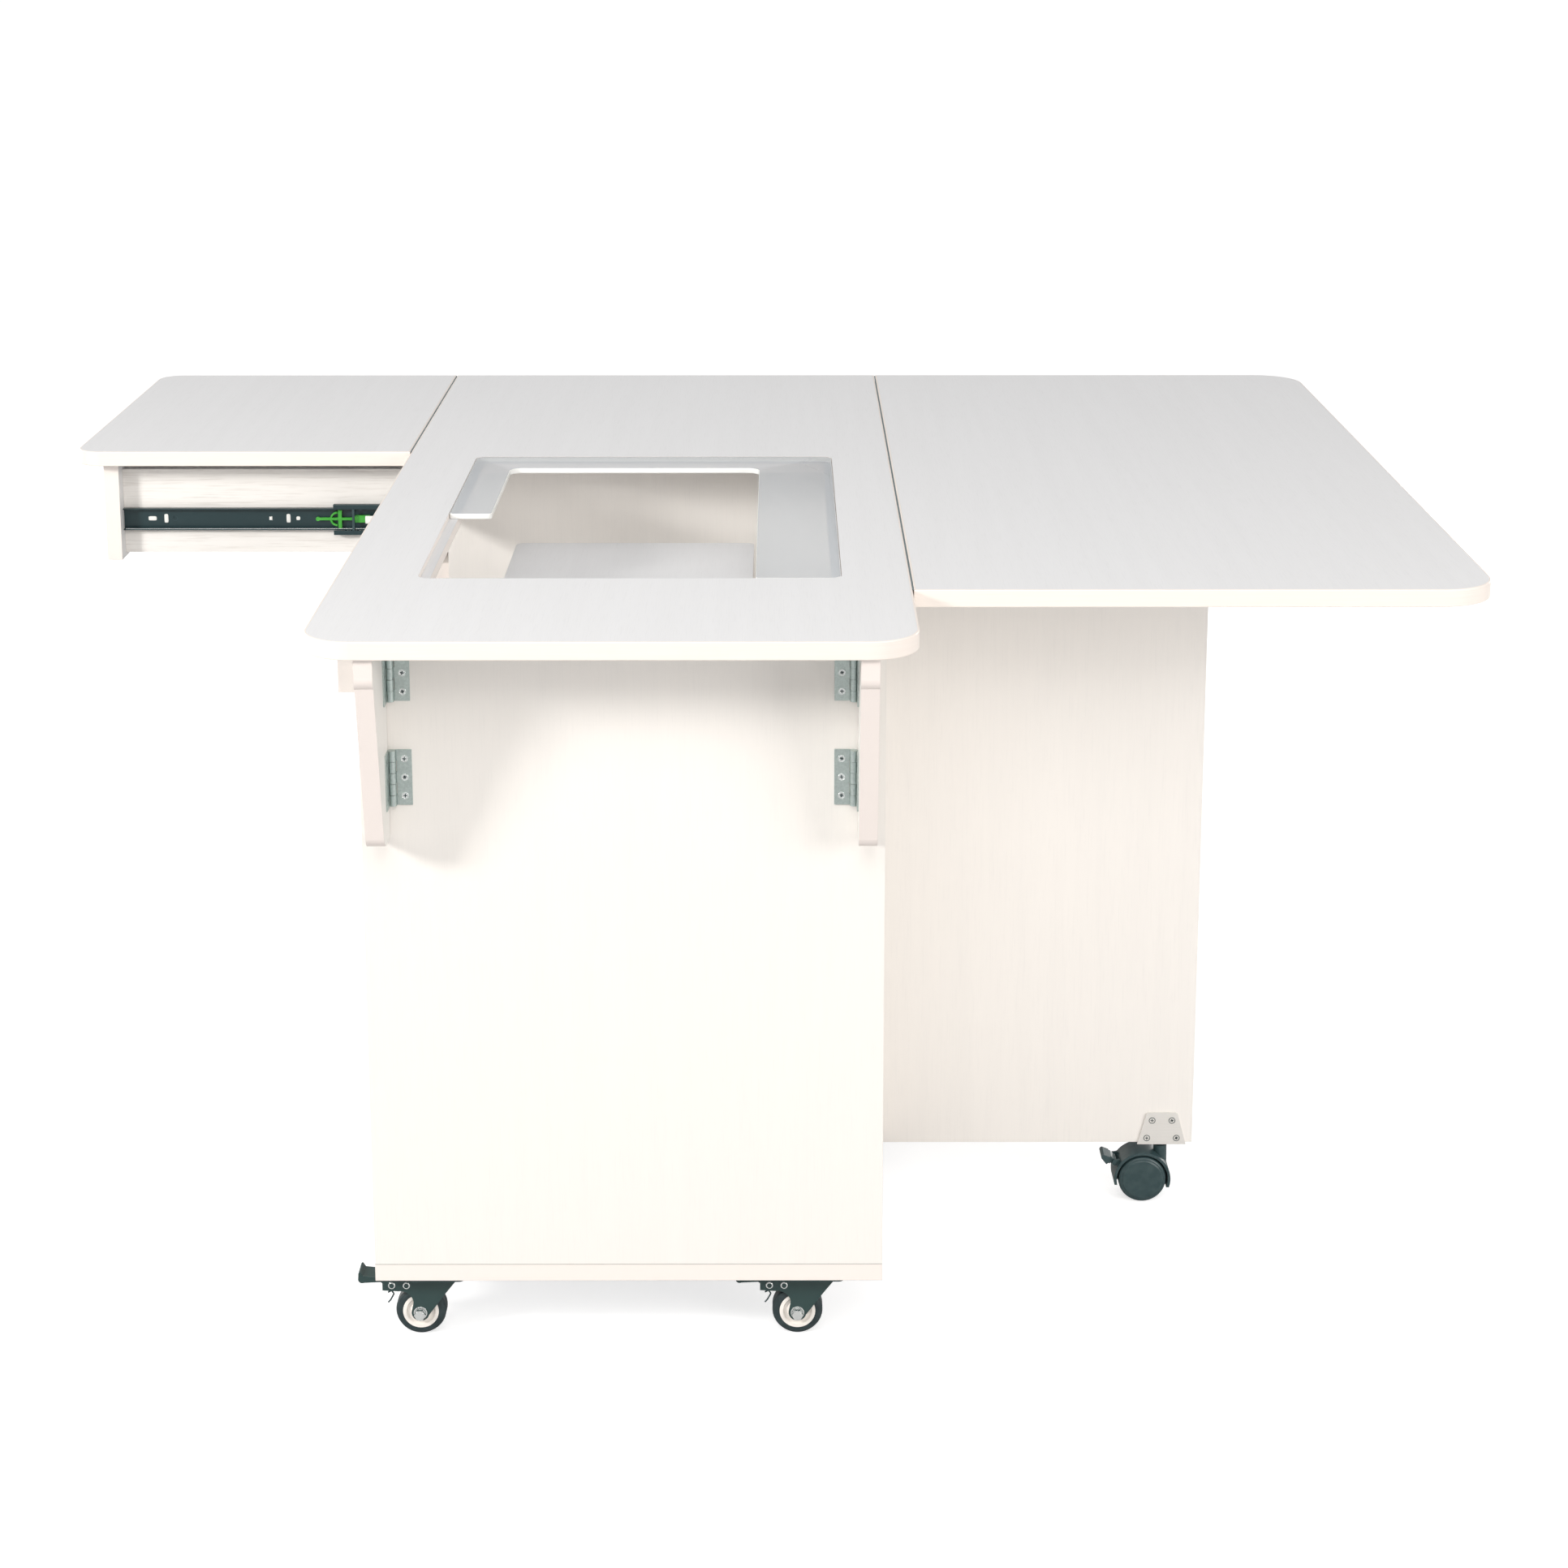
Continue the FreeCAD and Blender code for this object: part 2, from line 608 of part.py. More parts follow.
def caster_fork(x, y):
    """The swivelling fork: bent sheet, ball race, rivets and the axle bolt."""
    wheel_y = y - TRAIL
    inner = FORK_HALF - FORK_SHEET
    top = box((x - FORK_HALF, x + FORK_HALF), (wheel_y - 38.0, wheel_y + 38.0), (FORK_TOP - 2.5, FORK_TOP))
    race = rod((x, y, FORK_TOP - 2.5), (x, y, FORK_TOP + 1.2), 20.0)
    dish = fuse([top, race])
    dish = dish.cut(rod((x, y, FORK_TOP - 3), (x, y, FORK_TOP + 2), 5.0 + RUNNING_FIT))
    sides = [
        fork_side((x - FORK_HALF, x - inner), wheel_y),
        fork_side((x + inner, x + FORK_HALF), wheel_y),
    ]
    rivets = []
    for along, height in RIVETS:
        at = wheel_y + along
        rivets.append(rod((x - FORK_HALF - 0.8, at, height), (x + FORK_HALF + 0.8, at, height), 2.0))
        for side in (-1, 1):
            face = x + side * FORK_HALF
            rivets.append(rod((face, at, height), (face + side * 0.9, at, height), 3.3))
    body = fuse([dish] + sides + rivets)
    bolt = fuse(
        [
            rod((x - FORK_HALF - 5, wheel_y, WHEEL_R), (x + FORK_HALF + 5, wheel_y, WHEEL_R), AXLE_R),
            hexagon(x + FORK_HALF, 4.2, wheel_y),
            hexagon(x - FORK_HALF, -4.2, wheel_y),
        ]
    )
    return group([body.cut(bolt), bolt])


def hexagon(x, height, y):
    """A bolt head or nut on the axle, standing out along X by height."""
    flat_to_flat = 10.0
    radius = flat_to_flat / math.sqrt(3)
    turns = [math.radians(60 * n) for n in range(7)]
    corners = [
        Vector(x, y + radius * math.cos(t), WHEEL_R + radius * math.sin(t)) for t in turns
    ]
    return Part.Face(Part.makePolygon(corners)).extrude(Vector(height, 0, 0))


def turned_about_axle(profile, wheel_y, axle_z, x):
    """A wheel part: (offset along X, radius) points spun about the axle."""
    points = [Vector(x + a, wheel_y, axle_z + r) for a, r in profile + profile[:1]]
    face = Part.Face(Part.makePolygon(points))
    return face.revolve(Vector(x, wheel_y, axle_z), Vector(1, 0, 0), 360)


def caster_tyre(x, y):
    """The tyre with rounded shoulders."""
    r, w = WHEEL_R, TYRE_HALF
    profile = [(-w, HUB_R), (-w, r - 4.0), (-w + 1.2, r - 1.2), (-w + 4.0, r), (w - 4.0, r)]
    profile += [(w - 1.2, r - 1.2), (w, r - 4.0), (w, HUB_R)]
    return turned_about_axle(profile, y - TRAIL, r, x)


def caster_hub(x, y):
    """The wheel centre: rim, dished web and bearing boss."""
    w = TYRE_HALF
    bore, boss, rim = AXLE_R + RUNNING_FIT, 9.0, HUB_R - 0.05
    face = [(w + 0.9, bore), (w + 0.9, boss)]
    dish = [(w - 1.8, boss + 1.6), (w - 1.8, rim - 4.6)]
    half = face + dish + [(w + 0.2, rim - 3.4), (w + 0.2, rim)]
    profile = half + [(-a, r) for a, r in reversed(half)]
    return turned_about_axle(profile, y - TRAIL, WHEEL_R, x)


def caster_pedal(x, y):
    """The brake pedal: arms on the first rivet and an up-turned tip beyond the fork."""
    wheel_y = y - TRAIL
    pivot_y, pivot_z = wheel_y + RIVETS[0][0], RIVETS[0][1]
    half = FORK_HALF - FORK_SHEET - 0.6
    steps = [
        (wheel_y - 33.0, 52.6),
        (wheel_y - 40.0, 57.8),
        (wheel_y - 57.0, 57.0),
        ((wheel_y - 61.4, 57.6), (wheel_y - 62.8, 61.0)),
        (wheel_y - 62.4, 67.2),
        ((wheel_y - 61.0, 68.6), (wheel_y - 59.4, 67.4)),
        (wheel_y - 57.6, 64.4),
        (wheel_y - 50.0, 63.6),
        (wheel_y - 40.0, 63.0),
        (wheel_y - 33.0, 60.2),
        (wheel_y - 24.5, 60.2),
    ]
    body = prism_x((wheel_y - 24.5, 52.6), steps, (x - half, x + half))
    relief = box((x - half + 3.0, x + half - 3.0), (wheel_y - 38.0, wheel_y - 20.0), (50.0, 57.2))
    bore = rod((x - half - 1, pivot_y, pivot_z), (x + half + 1, pivot_y, pivot_z), 2.0 + RUNNING_FIT)
    return body.cut(relief).cut(bore)


# ---- Leg caster ----


def leg_caster_bracket():
    """The trapezoid plate on the leg's face with its flange under the leg, and its screws."""
    x, y = LEG_STEM
    face = LEG_X[1]
    low, high = LEG_Z[0] - 2.0, LEG_Z[0] + 36.0
    corner = 4.0
    steps = [
        (y + 27.0, low),
        (y + 18.0, high - corner),
        ((y + 16.6, high - 1.1), (y + 13.6, high)),
        (y - 13.6, high),
        ((y - 16.6, high - 1.1), (y - 18.0, high - corner)),
    ]
    plate = prism_x((y - 27.0, low), steps, (face, face + 2.0))
    flange = box((LEG_X[0] + 1.0, face), (y - 20.0, y + 20.0), (low, LEG_Z[0]))
    stem_hole = rod((x, y, low - 1), (x, y, LEG_Z[0] + 1), 4.0 + RUNNING_FIT)
    screws = [
        screw((face + 2.1, y + side * across, low + up), (-1, 0, 0))
        for across, up in ((16.5, 7.5), (11.0, 28.4))
        for side in (-1, 1)
    ]
    return fuse([plate, flange]).cut(stem_hole).cut(holes(screws)), screws


def leg_caster_hood():
    """The caster's frame: hood over both wheels, middle web, stem boss, stem and axle."""
    x, y, z = LEG_STEM[0], LEG_WHEEL_Y, LEG_WHEEL_R
    stem_y = LEG_STEM[1]
    shell = rod((x - HOOD_HALF, y, z), (x + HOOD_HALF, y, z), HOOD_R)
    inside = rod((x - HOOD_HALF - 1, y, z), (x + HOOD_HALF + 1, y, z), HOOD_R - HOOD_SHEET)
    web = rod((x - 2.5, y, z), (x + 2.5, y, z), HOOD_R - 1.0)
    boss = rod((x, stem_y, z + 10), (x, stem_y, 62.0), 7.5)
    boss = boss.cut(inside)
    hood = fuse([shell.cut(inside), web, boss])
    hood = hood.cut(box((x - 30, x + 30), (y - 40, y + 2), (-5, z - 6.5)))
    hood = hood.cut(box((x - 30, x + 30), (y + 1, y + 40), (-5, z - 9.5)))
    hood = hood.cut(box((x - 30, x + 30), (stem_y + 7.0, y + 60), (z + 25.0, 90)))
    stem = rod((x, stem_y, 60.0), (x, stem_y, 104.0), 4.0)
    axle = rod((x - HOOD_HALF + 3, y, z), (x + HOOD_HALF - 3, y, z), LEG_AXLE_R)
    pivot_y, pivot_z = brake_pivot()
    lugs = [rod((x - 11.8, pivot_y, pivot_z), (x + 11.8, pivot_y, pivot_z), 1.5)]
    for low, high in ((-11.8, -9.2), (9.2, 11.8)):
        lugs.append(rod((x + low, pivot_y, pivot_z), (x + high, pivot_y, pivot_z), 3.2))
        foot = [(pivot_y + 6.0, pivot_z - 2.6), (pivot_y + 5.0, pivot_z + 4.0), (pivot_y, pivot_z + 3.0)]
        lugs.append(prism_x((pivot_y, pivot_z - 3.0), foot, (x + low, x + high)).cut(inside))
    return fuse([hood, stem, axle] + lugs)


def leg_wheel(side):
    """One of the twin wheels, a disc with a stepped face, on the given side of the web."""
    inner, outer, r = 3.2, HOOD_HALF + 1.0, LEG_WHEEL_R
    bore = LEG_AXLE_R + RUNNING_FIT
    blind = HOOD_HALF - 2.6
    profile = [(inner, bore), (blind, bore), (blind, 0.0), (outer + 0.6, 0.0), (outer + 0.6, r - 5.0)]
    profile += [(outer - 0.4, r - 3.4), (outer - 0.4, r - 2.4), (outer - 1.4, r - 0.8), (outer - 3.4, r)]
    profile += [(inner + 1.0, r), (inner, r - 1.0)]
    return turned_about_axle([(side * a, b) for a, b in profile], LEG_WHEEL_Y, r, LEG_STEM[0])


def brake_pivot():
    """Y and Z of the leg caster's brake pin, just outside the hood."""
    return LEG_WHEEL_Y - 30.3, LEG_WHEEL_R + 17.5


def leg_brake():
    """The leg caster's brake lever: a short toe plate on a pin that stands off the hood."""
    x, y, z = LEG_STEM[0], LEG_WHEEL_Y, LEG_WHEEL_R
    pivot_y, pivot_z = brake_pivot()
    wide, narrow = 11.0, 8.8
    steps = [
        ((y - 45.6, z + 24.4), (y - 45.2, z + 22.2)),
        (y - 40.0, z + 15.6),
        (y - 37.4, z + 17.0),
        (pivot_y, pivot_z - 2.4),
        (pivot_y, pivot_z + 2.4),
        (y - 34.0, z + 23.2),
    ]
    toe = prism_x((y - 42.5, z + 26.6), steps, (x - wide, x + wide))
    for low, high in ((x - wide - 1, x - narrow), (x + narrow, x + wide + 1)):
        toe = toe.cut(box((low, high), (y - 35.6, y), (z, z + 40)))
    knuckle = rod((x - narrow, pivot_y, pivot_z), (x + narrow, pivot_y, pivot_z), 2.6)
    bore = rod((x - wide, pivot_y, pivot_z), (x + wide, pivot_y, pivot_z), 1.5 + RUNNING_FIT)
    return fuse([toe, knuckle]).cut(bore)


# ---- Assembly ----


def base_casters(nodes):
    """Adds the four base casters and returns their fixed plates and plate screws."""
    names = {
        (1, 0): "front_right",
        (0, 0): "front_left",
        (1, 1): "rear_right",
        (0, 1): "rear_left",
    }
    plates, screws = [], []
    for (i, j), name in names.items():
        x, y = CASTER_X[i], CASTER_Y[j]
        plate, plate_screws = caster_top_plate(x, y)
        plates.append(plate)
        screws += plate_screws
        nodes[f"{name}_caster_fork"] = caster_fork(x, y)
        nodes[f"{name}_caster_tyre"] = caster_tyre(x, y)
        nodes[f"{name}_caster_hub"] = caster_hub(x, y)
        nodes[f"{name}_caster_pedal"] = caster_pedal(x, y)
    return plates, screws


def add_leaves(nodes):
    """Adds the worktop, both leaves and their hinge halves."""
    nodes["worktop"], nodes["worktop_edging"] = worktop_parts()
    nodes["worktop_hinge_barrels"] = worktop_barrels()
    front = leaf_parts(
        FRONT_LEAF_X, FRONT_LEAF_Y, [(0, 0), (1, 0)], FRONT_LEAF_CORNER, FRONT_BARREL_X, FRONT_LEAF_Y[1], -1
    )
    back = leaf_parts(
        BACK_LEAF_X, BACK_LEAF_Y, [(0, 1), (1, 1)], BACK_LEAF_CORNER, BACK_BARREL_X, BACK_LEAF_Y[0], 1
    )
    for name, (core, band, halves) in (("front_leaf", front), ("back_leaf", back)):
        nodes[name] = core
        nodes[f"{name}_edging"] = band
        nodes[f"{name}_hinge_barrels"] = halves


def add_brackets(nodes, fixed_leaves, fixed_screws):
    """Adds the folding brackets and their hinges."""
    pin_x = CARCASS_X[1] + HINGE_R
    for name, y, face, fixed_turn, moving_turn in (
        ("front_bracket", FRONT_BRACKET_Y, FRONT_BRACKET_Y[1], (90, True), (0, False)),
        ("rear_bracket", REAR_BRACKET_Y, REAR_BRACKET_Y[0], (-90, False), (0, True)),
    ):
        side = 1 if face == y[1] else -1
        pin = (pin_x, face + side * HINGE_R)
        leaves, moving, screws, moving_screws = hinge_row(pin, BRACKET_HINGE_Z, fixed_turn, moving_turn)
        fixed_leaves += leaves
        fixed_screws += screws
        nodes[name] = bracket(y).cut(holes(moving_screws))
        nodes[f"{name}_hinge_leaves"] = group(moving + bodies(moving_screws))


def add_gate_leg(nodes, fixed_leaves, fixed_screws):
    """Adds the gate leg with its hinges and caster."""
    pin = (LEG_X[0] - HINGE_R, CARCASS_Y[1] + HINGE_R)
    leaves, moving, screws, moving_screws = hinge_row(pin, LEG_HINGE_Z, (180, True), (90, False))
    fixed_leaves += leaves
    fixed_screws += screws
    plate, plate_screws = leg_caster_bracket()
    stem_bore = rod((LEG_STEM[0], LEG_STEM[1], LEG_Z[0] - 1), (LEG_STEM[0], LEG_STEM[1], 108.0), 5.0)
    panel = box(LEG_X, LEG_Y, LEG_Z).cut(holes(moving_screws + plate_screws)).cut(stem_bore)
    nodes["gate_leg_panel"] = panel
    nodes["gate_leg_hinge_leaves"] = group(moving + bodies(moving_screws))
    nodes["leg_caster_bracket"] = group([plate] + bodies(plate_screws))
    nodes["leg_caster_hood"] = leg_caster_hood()
    nodes["leg_caster_right_wheel"] = leg_wheel(1)
    nodes["leg_caster_left_wheel"] = leg_wheel(-1)
    nodes["leg_caster_brake_lever"] = leg_brake()


def add_door(nodes, fixed_leaves, fixed_screws):
    """Adds the pedestal's door and its hinges."""
    y = (FRONT_BOARD_Y[0] - DOOR_GAP, FRONT_BOARD_Y[1] - DOOR_GAP)
    pin = (CARCASS_X[0] - HINGE_R, CARCASS_Y[0] - 5.0)
    leaves, moving, screws, moving_screws = hinge_row(pin, DOOR_HINGE_Z, (90, False), (-90, True), 13.0)
    fixed_leaves += leaves
    fixed_screws += screws
    nodes["pedestal_door"] = box(DOOR_X, y, DOOR_Z).cut(holes(moving_screws))
    nodes["pedestal_door_hinge_leaves"] = group(moving + bodies(moving_screws))


def add_drawer(nodes):
    """Adds the drawer, its slides and their release levers."""
    y = (FRONT_BOARD_Y[0] - DRAWER_OUT, FRONT_BOARD_Y[1] - DRAWER_OUT)
    nodes["drawer_front"] = box(DRAWER_FRONT_X, y, DRAWER_FRONT_Z)
    nodes["drawer_box"] = drawer_box()
    nodes["drawer_slide_members"] = group(drawer_members())
    nodes["middle_slide_members"] = middle_members()
    nodes["cabinet_slide_members"] = outer_members()
    for name, (_, wall, side) in zip(("left", "right"), slide_walls()):
        nodes[f"{name}_release_lever"] = release_lever(wall, side)


def add_lift(nodes):
    """Adds the machine lift and the clear insert above it."""
    z = (LIFT_TOP - BOARD, LIFT_TOP)
    corners = [(a, b) for a in LIFT_X for b in LIFT_Y]
    nodes["lift_platform"] = round_corners(box(LIFT_X, LIFT_Y, z), corners, 10.0)
    nodes["lift_carriage"] = lift_carriage()
    nodes["lift_handle"] = lift_handle()
    nodes["lift_guide_rails"] = lift_rails()
    nodes["acrylic_insert"] = acrylic_insert()


def build():
    """Every node of the table, by name."""
    nodes = {}
    fixed_leaves, fixed_screws = [], []
    add_leaves(nodes)
    add_brackets(nodes, fixed_leaves, fixed_screws)
    add_gate_leg(nodes, fixed_leaves, fixed_screws)
    add_door(nodes, fixed_leaves, fixed_screws)
    add_drawer(nodes)
    add_lift(nodes)
    plates, plate_screws = base_casters(nodes)
    fixed_screws += plate_screws
    cutter = holes(fixed_screws)
    for name, panel in carcass_panels().items():
        nodes[name] = panel.cut(cutter)
    nodes["hinge_fixed_leaves"] = group(fixed_leaves)
    nodes["caster_top_plates"] = group(plates)
    nodes["cabinet_screws"] = group(bodies(fixed_screws))
    return nodes


def main():
    """Writes one STEP file per node."""
    os.makedirs("parts", exist_ok=True)
    for name, shape in build().items():
        solids = len(shape.Solids)
        print(f"{name}: {solids} solids, valid {shape.isValid()}, {shape.Volume / 1000:.1f} cm3")
        shape.exportStep(f"parts/{name}.step")


main()
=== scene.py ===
import logging
import math
from dataclasses import dataclass, field
from enum import Enum
from typing import ClassVar, Sequence

import bmesh
import bpy
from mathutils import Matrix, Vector


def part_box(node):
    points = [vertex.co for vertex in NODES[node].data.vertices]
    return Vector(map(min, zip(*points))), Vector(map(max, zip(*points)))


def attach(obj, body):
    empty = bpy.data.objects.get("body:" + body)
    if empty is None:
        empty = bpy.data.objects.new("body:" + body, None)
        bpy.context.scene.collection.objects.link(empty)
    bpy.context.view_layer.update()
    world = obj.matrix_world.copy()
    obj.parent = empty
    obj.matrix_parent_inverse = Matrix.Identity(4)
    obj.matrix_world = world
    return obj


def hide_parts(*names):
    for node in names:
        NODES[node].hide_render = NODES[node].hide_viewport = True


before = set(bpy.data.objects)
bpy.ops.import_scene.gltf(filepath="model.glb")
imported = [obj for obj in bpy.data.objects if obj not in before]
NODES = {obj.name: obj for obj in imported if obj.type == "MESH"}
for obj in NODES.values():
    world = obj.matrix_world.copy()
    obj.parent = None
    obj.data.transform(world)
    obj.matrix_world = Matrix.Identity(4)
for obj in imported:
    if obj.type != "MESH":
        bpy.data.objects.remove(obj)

logging.basicConfig(level=logging.INFO, format="%(message)s")
log = logging.getLogger("sewing_table")

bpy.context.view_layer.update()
MM = 0.001

Point = tuple[float, float, float]


# ---- Small helpers ----


def linear(colour: str) -> tuple[float, float, float, float]:
    """Turns an sRGB hex colour into the linear values that shaders take.

    Args:
        colour: The colour as "#RRGGBB".

    Returns:
        Red, green, blue and an alpha of 1, linear.
    """
    parts = [int(colour[i : i + 2], 16) / 255 for i in (1, 3, 5)]
    lit = [c / 12.92 if c <= 0.04045 else ((c + 0.055) / 1.055) ** 2.4 for c in parts]
    return (lit[0], lit[1], lit[2], 1.0)


def add(
    tree: bpy.types.NodeTree,
    kind: str,
    settings: dict | None = None,
    inputs: dict | None = None,
) -> bpy.types.Node:
    """Adds a node with its settings and its inputs, which are values or sockets to link.

    Args:
        tree: The node tree that gets the node.
        kind: The node's type name.
        settings: The node's own properties.
        inputs: Input name or number, and its value or the socket that feeds it.

    Returns:
        The new node.
    """
    node = tree.nodes.new(kind)
    for name, value in (settings or {}).items():
        setattr(node, name, value)
    for name, value in (inputs or {}).items():
        if isinstance(value, bpy.types.NodeSocket):
            tree.links.new(value, node.inputs[name])
        else:
            node.inputs[name].default_value = value
    return node


def maths(
    tree: bpy.types.NodeTree,
    operation: str,
    first: bpy.types.NodeSocket,
    second: bpy.types.NodeSocket | float,
) -> bpy.types.NodeSocket:
    """Adds a maths node.

    Args:
        tree: The node tree that gets the node.
        operation: What the node does with its two inputs.
        first: The socket that feeds its first input.
        second: Its second input, a value or a socket.

    Returns:
        The result's socket.
    """
    node = add(tree, "ShaderNodeMath", {"operation": operation}, {0: first, 1: second})
    return node.outputs[0]


class Axis(Enum):
    """A direction of the table's frame, by its place in a vector."""

    X = 0
    Y = 1
    Z = 2


# ---- Finishes ----


@dataclass(frozen=True)
class Finish:
    """A material with a name, made once and shared by what wears it."""

    name: str

    def material(self) -> bpy.types.Material:
        """Makes the material, or finds it if it is made already.

        Returns:
            The material.
        """
        made = bpy.data.materials.get(self.name)
        if made is None:
            made = bpy.data.materials.new(self.name)
            made.use_nodes = True
            tree = made.node_tree
            tree.nodes.clear()
            shader = self.shader(tree)
            add(tree, "ShaderNodeOutputMaterial", inputs={"Surface": shader.outputs[0]})
        return made

    def shader(self, tree: bpy.types.NodeTree) -> bpy.types.Node:
        """Builds the finish's nodes and returns its shader.

        Args:
            tree: The node tree that gets the nodes.

        Returns:
            The finish's shader node.
        """
        raise NotImplementedError


@dataclass(frozen=True)
class Melamine(Finish):
    """Particle board under pressed melamine foil: satin white with fine embossed ash pores."""

    grain: Axis
    thin: Axis | None = None  # the way the board is thin; its other faces wear the edge colour
    face: str = "#E7E7E8"
    pore: str = "#C9C8C8"
    edge: str = "#F2EAE4"
    contrast: float = 0.14
    figured: float = 0.06
    pore_mm: float = 1.5  # drawn coarser than real pores, which are 0.2 mm across
    pore_length_mm: float = 42.0
    figure_mm: float = 17.0
    figure_length_mm: float = 420.0
    round_mm: float = 0.8

    def stretched(
        self, tree: bpy.types.NodeTree, place: bpy.types.NodeSocket, across: float, along: float
    ) -> bpy.types.NodeSocket:
        """Noise drawn out along the grain.

        Args:
            tree: The material's tree.
            place: The object coordinates.
            across: Size across the grain in millimetres.
            along: Size along the grain in millimetres.

        Returns:
            The noise, around 0.5.
        """
        scale = [1 / (across * MM)] * 3
        scale[self.grain.value] = 1 / (along * MM)
        drawn = add(tree, "ShaderNodeMapping", inputs={"Vector": place, "Scale": scale})
        noise = add(
            tree,
            "ShaderNodeTexNoise",
            inputs={"Vector": drawn.outputs[0], "Scale": 1.0, "Detail": 3.0, "Roughness": 0.62},
        )
        return noise.outputs["Fac"]

    def shader(self, tree: bpy.types.NodeTree) -> bpy.types.Node:
        """Foil colour, pores, slow figure, edge colour by the face's direction, and embossing.

        Args:
            tree: The node tree that gets the nodes.

        Returns:
            The finish's shader node.
        """
        place = add(tree, "ShaderNodeTexCoord")
        spot = place.outputs["Object"]
        pores = add(
            tree,
            "ShaderNodeMapRange",
            inputs={
                "Value": self.stretched(tree, spot, self.pore_mm, self.pore_length_mm),
                "From Min": 0.52,
                "From Max": 0.72,
            },
        )
        figure = add(
            tree,
            "ShaderNodeMapRange",
            inputs={
                "Value": self.stretched(tree, spot, self.figure_mm, self.figure_length_mm),
                "From Min": 0.35,
                "From Max": 0.65,
                "To Min": 0.0,
                "To Max": self.figured,
            },
        )
        share = add(
            tree,
            "ShaderNodeMath",
            {"operation": "MULTIPLY_ADD"},
            {0: pores.outputs[0], 1: self.contrast, 2: figure.outputs[0]},
        )
        foil = add(
            tree,
            "ShaderNodeMix",
            {"data_type": "RGBA"},
            {0: share.outputs[0], 6: linear(self.face), 7: linear(self.pore)},
        ).outputs[2]
        if self.thin is not None:
            split = add(tree, "ShaderNodeSeparateXYZ", inputs={0: place.outputs["Normal"]})
            facing = add(
                tree,
                "ShaderNodeMath",
                {"operation": "ABSOLUTE"},
                {0: split.outputs[self.thin.value]},
            )
            sheet = add(
                tree,
                "ShaderNodeMapRange",
                inputs={"Value": facing.outputs[0], "From Min": 0.55, "From Max": 0.85},
            )
            foil = add(
                tree,
                "ShaderNodeMix",
                {"data_type": "RGBA"},
                {0: sheet.outputs[0], 6: linear(self.edge), 7: foil},
            ).outputs[2]
        soft = add(
            tree, "ShaderNodeBevel", {"samples": 4}, {"Radius": self.round_mm * MM}
        )
        pressed = add(
            tree,
            "ShaderNodeBump",
            {"invert": True},
            {
                "Strength": 0.35,
                "Distance": 0.06 * MM,
                "Height": pores.outputs[0],
                "Normal": soft.outputs[0],
            },
        )
        return add(
            tree,
            "ShaderNodeBsdfPrincipled",
            inputs={
                "Base Color": foil,
                "Roughness": 0.44,
                "Specular IOR Level": 0.42,
                "Normal": pressed.outputs[0],
            },
        )


@dataclass(frozen=True)
class EdgeBand(Finish):
    """Extruded PVC edge band, trimmed and scraped: cream, satin, with fine lines along it."""

    colour: str = "#F4ECE5"
    streak: str = "#EEE4DC"
    streak_mm: float = 0.9
    chip: Point | None = None  # a chipped spot on the top edge
    chip_mm: float = 1.9

    def shader(self, tree: bpy.types.NodeTree) -> bpy.types.Node:
        """Cream with level streaks, and a dark spot where the band is chipped.

        Args:
            tree: The node tree that gets the nodes.

        Returns:
            The finish's shader node.
        """
        place = add(tree, "ShaderNodeTexCoord").outputs["Object"]
        scale = [1 / (60 * MM), 1 / (60 * MM), 1 / (self.streak_mm * MM)]
        drawn = add(tree, "ShaderNodeMapping", inputs={"Vector": place, "Scale": scale})
        lines = add(
            tree,
            "ShaderNodeTexNoise",
            inputs={"Vector": drawn.outputs[0], "Scale": 1.0, "Detail": 2.0},
        )
        colour = add(
            tree,
            "ShaderNodeMix",
            {"data_type": "RGBA"},
            {0: lines.outputs["Fac"], 6: linear(self.colour), 7: linear(self.streak)},
        ).outputs[2]
        if self.chip is not None:
            away = add(
                tree, "ShaderNodeVectorMath", {"operation": "DISTANCE"}, {0: place, 1: self.chip}
            )
            spot = add(
                tree,
                "ShaderNodeMapRange",
                inputs={
                    "Value": away.outputs["Value"],
                    "From Min": self.chip_mm * MM,
                    "From Max": self.chip_mm * 1.5 * MM,
                    "To Min": 1.0,
                    "To Max": 0.0,
                },
            )
            colour = add(
                tree,
                "ShaderNodeMix",
                {"data_type": "RGBA"},
                {0: spot.outputs[0], 6: colour, 7: linear("#5E5D5B")},
            ).outputs[2]
        scraped = add(
            tree,
            "ShaderNodeBump",
            inputs={"Strength": 0.2, "Distance": 0.05 * MM, "Height": lines.outputs["Fac"]},
        )
        return add(
            tree,
            "ShaderNodeBsdfPrincipled",
            inputs={"Base Color": colour, "Roughness": 0.36, "Normal": scraped.outputs[0]},
        )


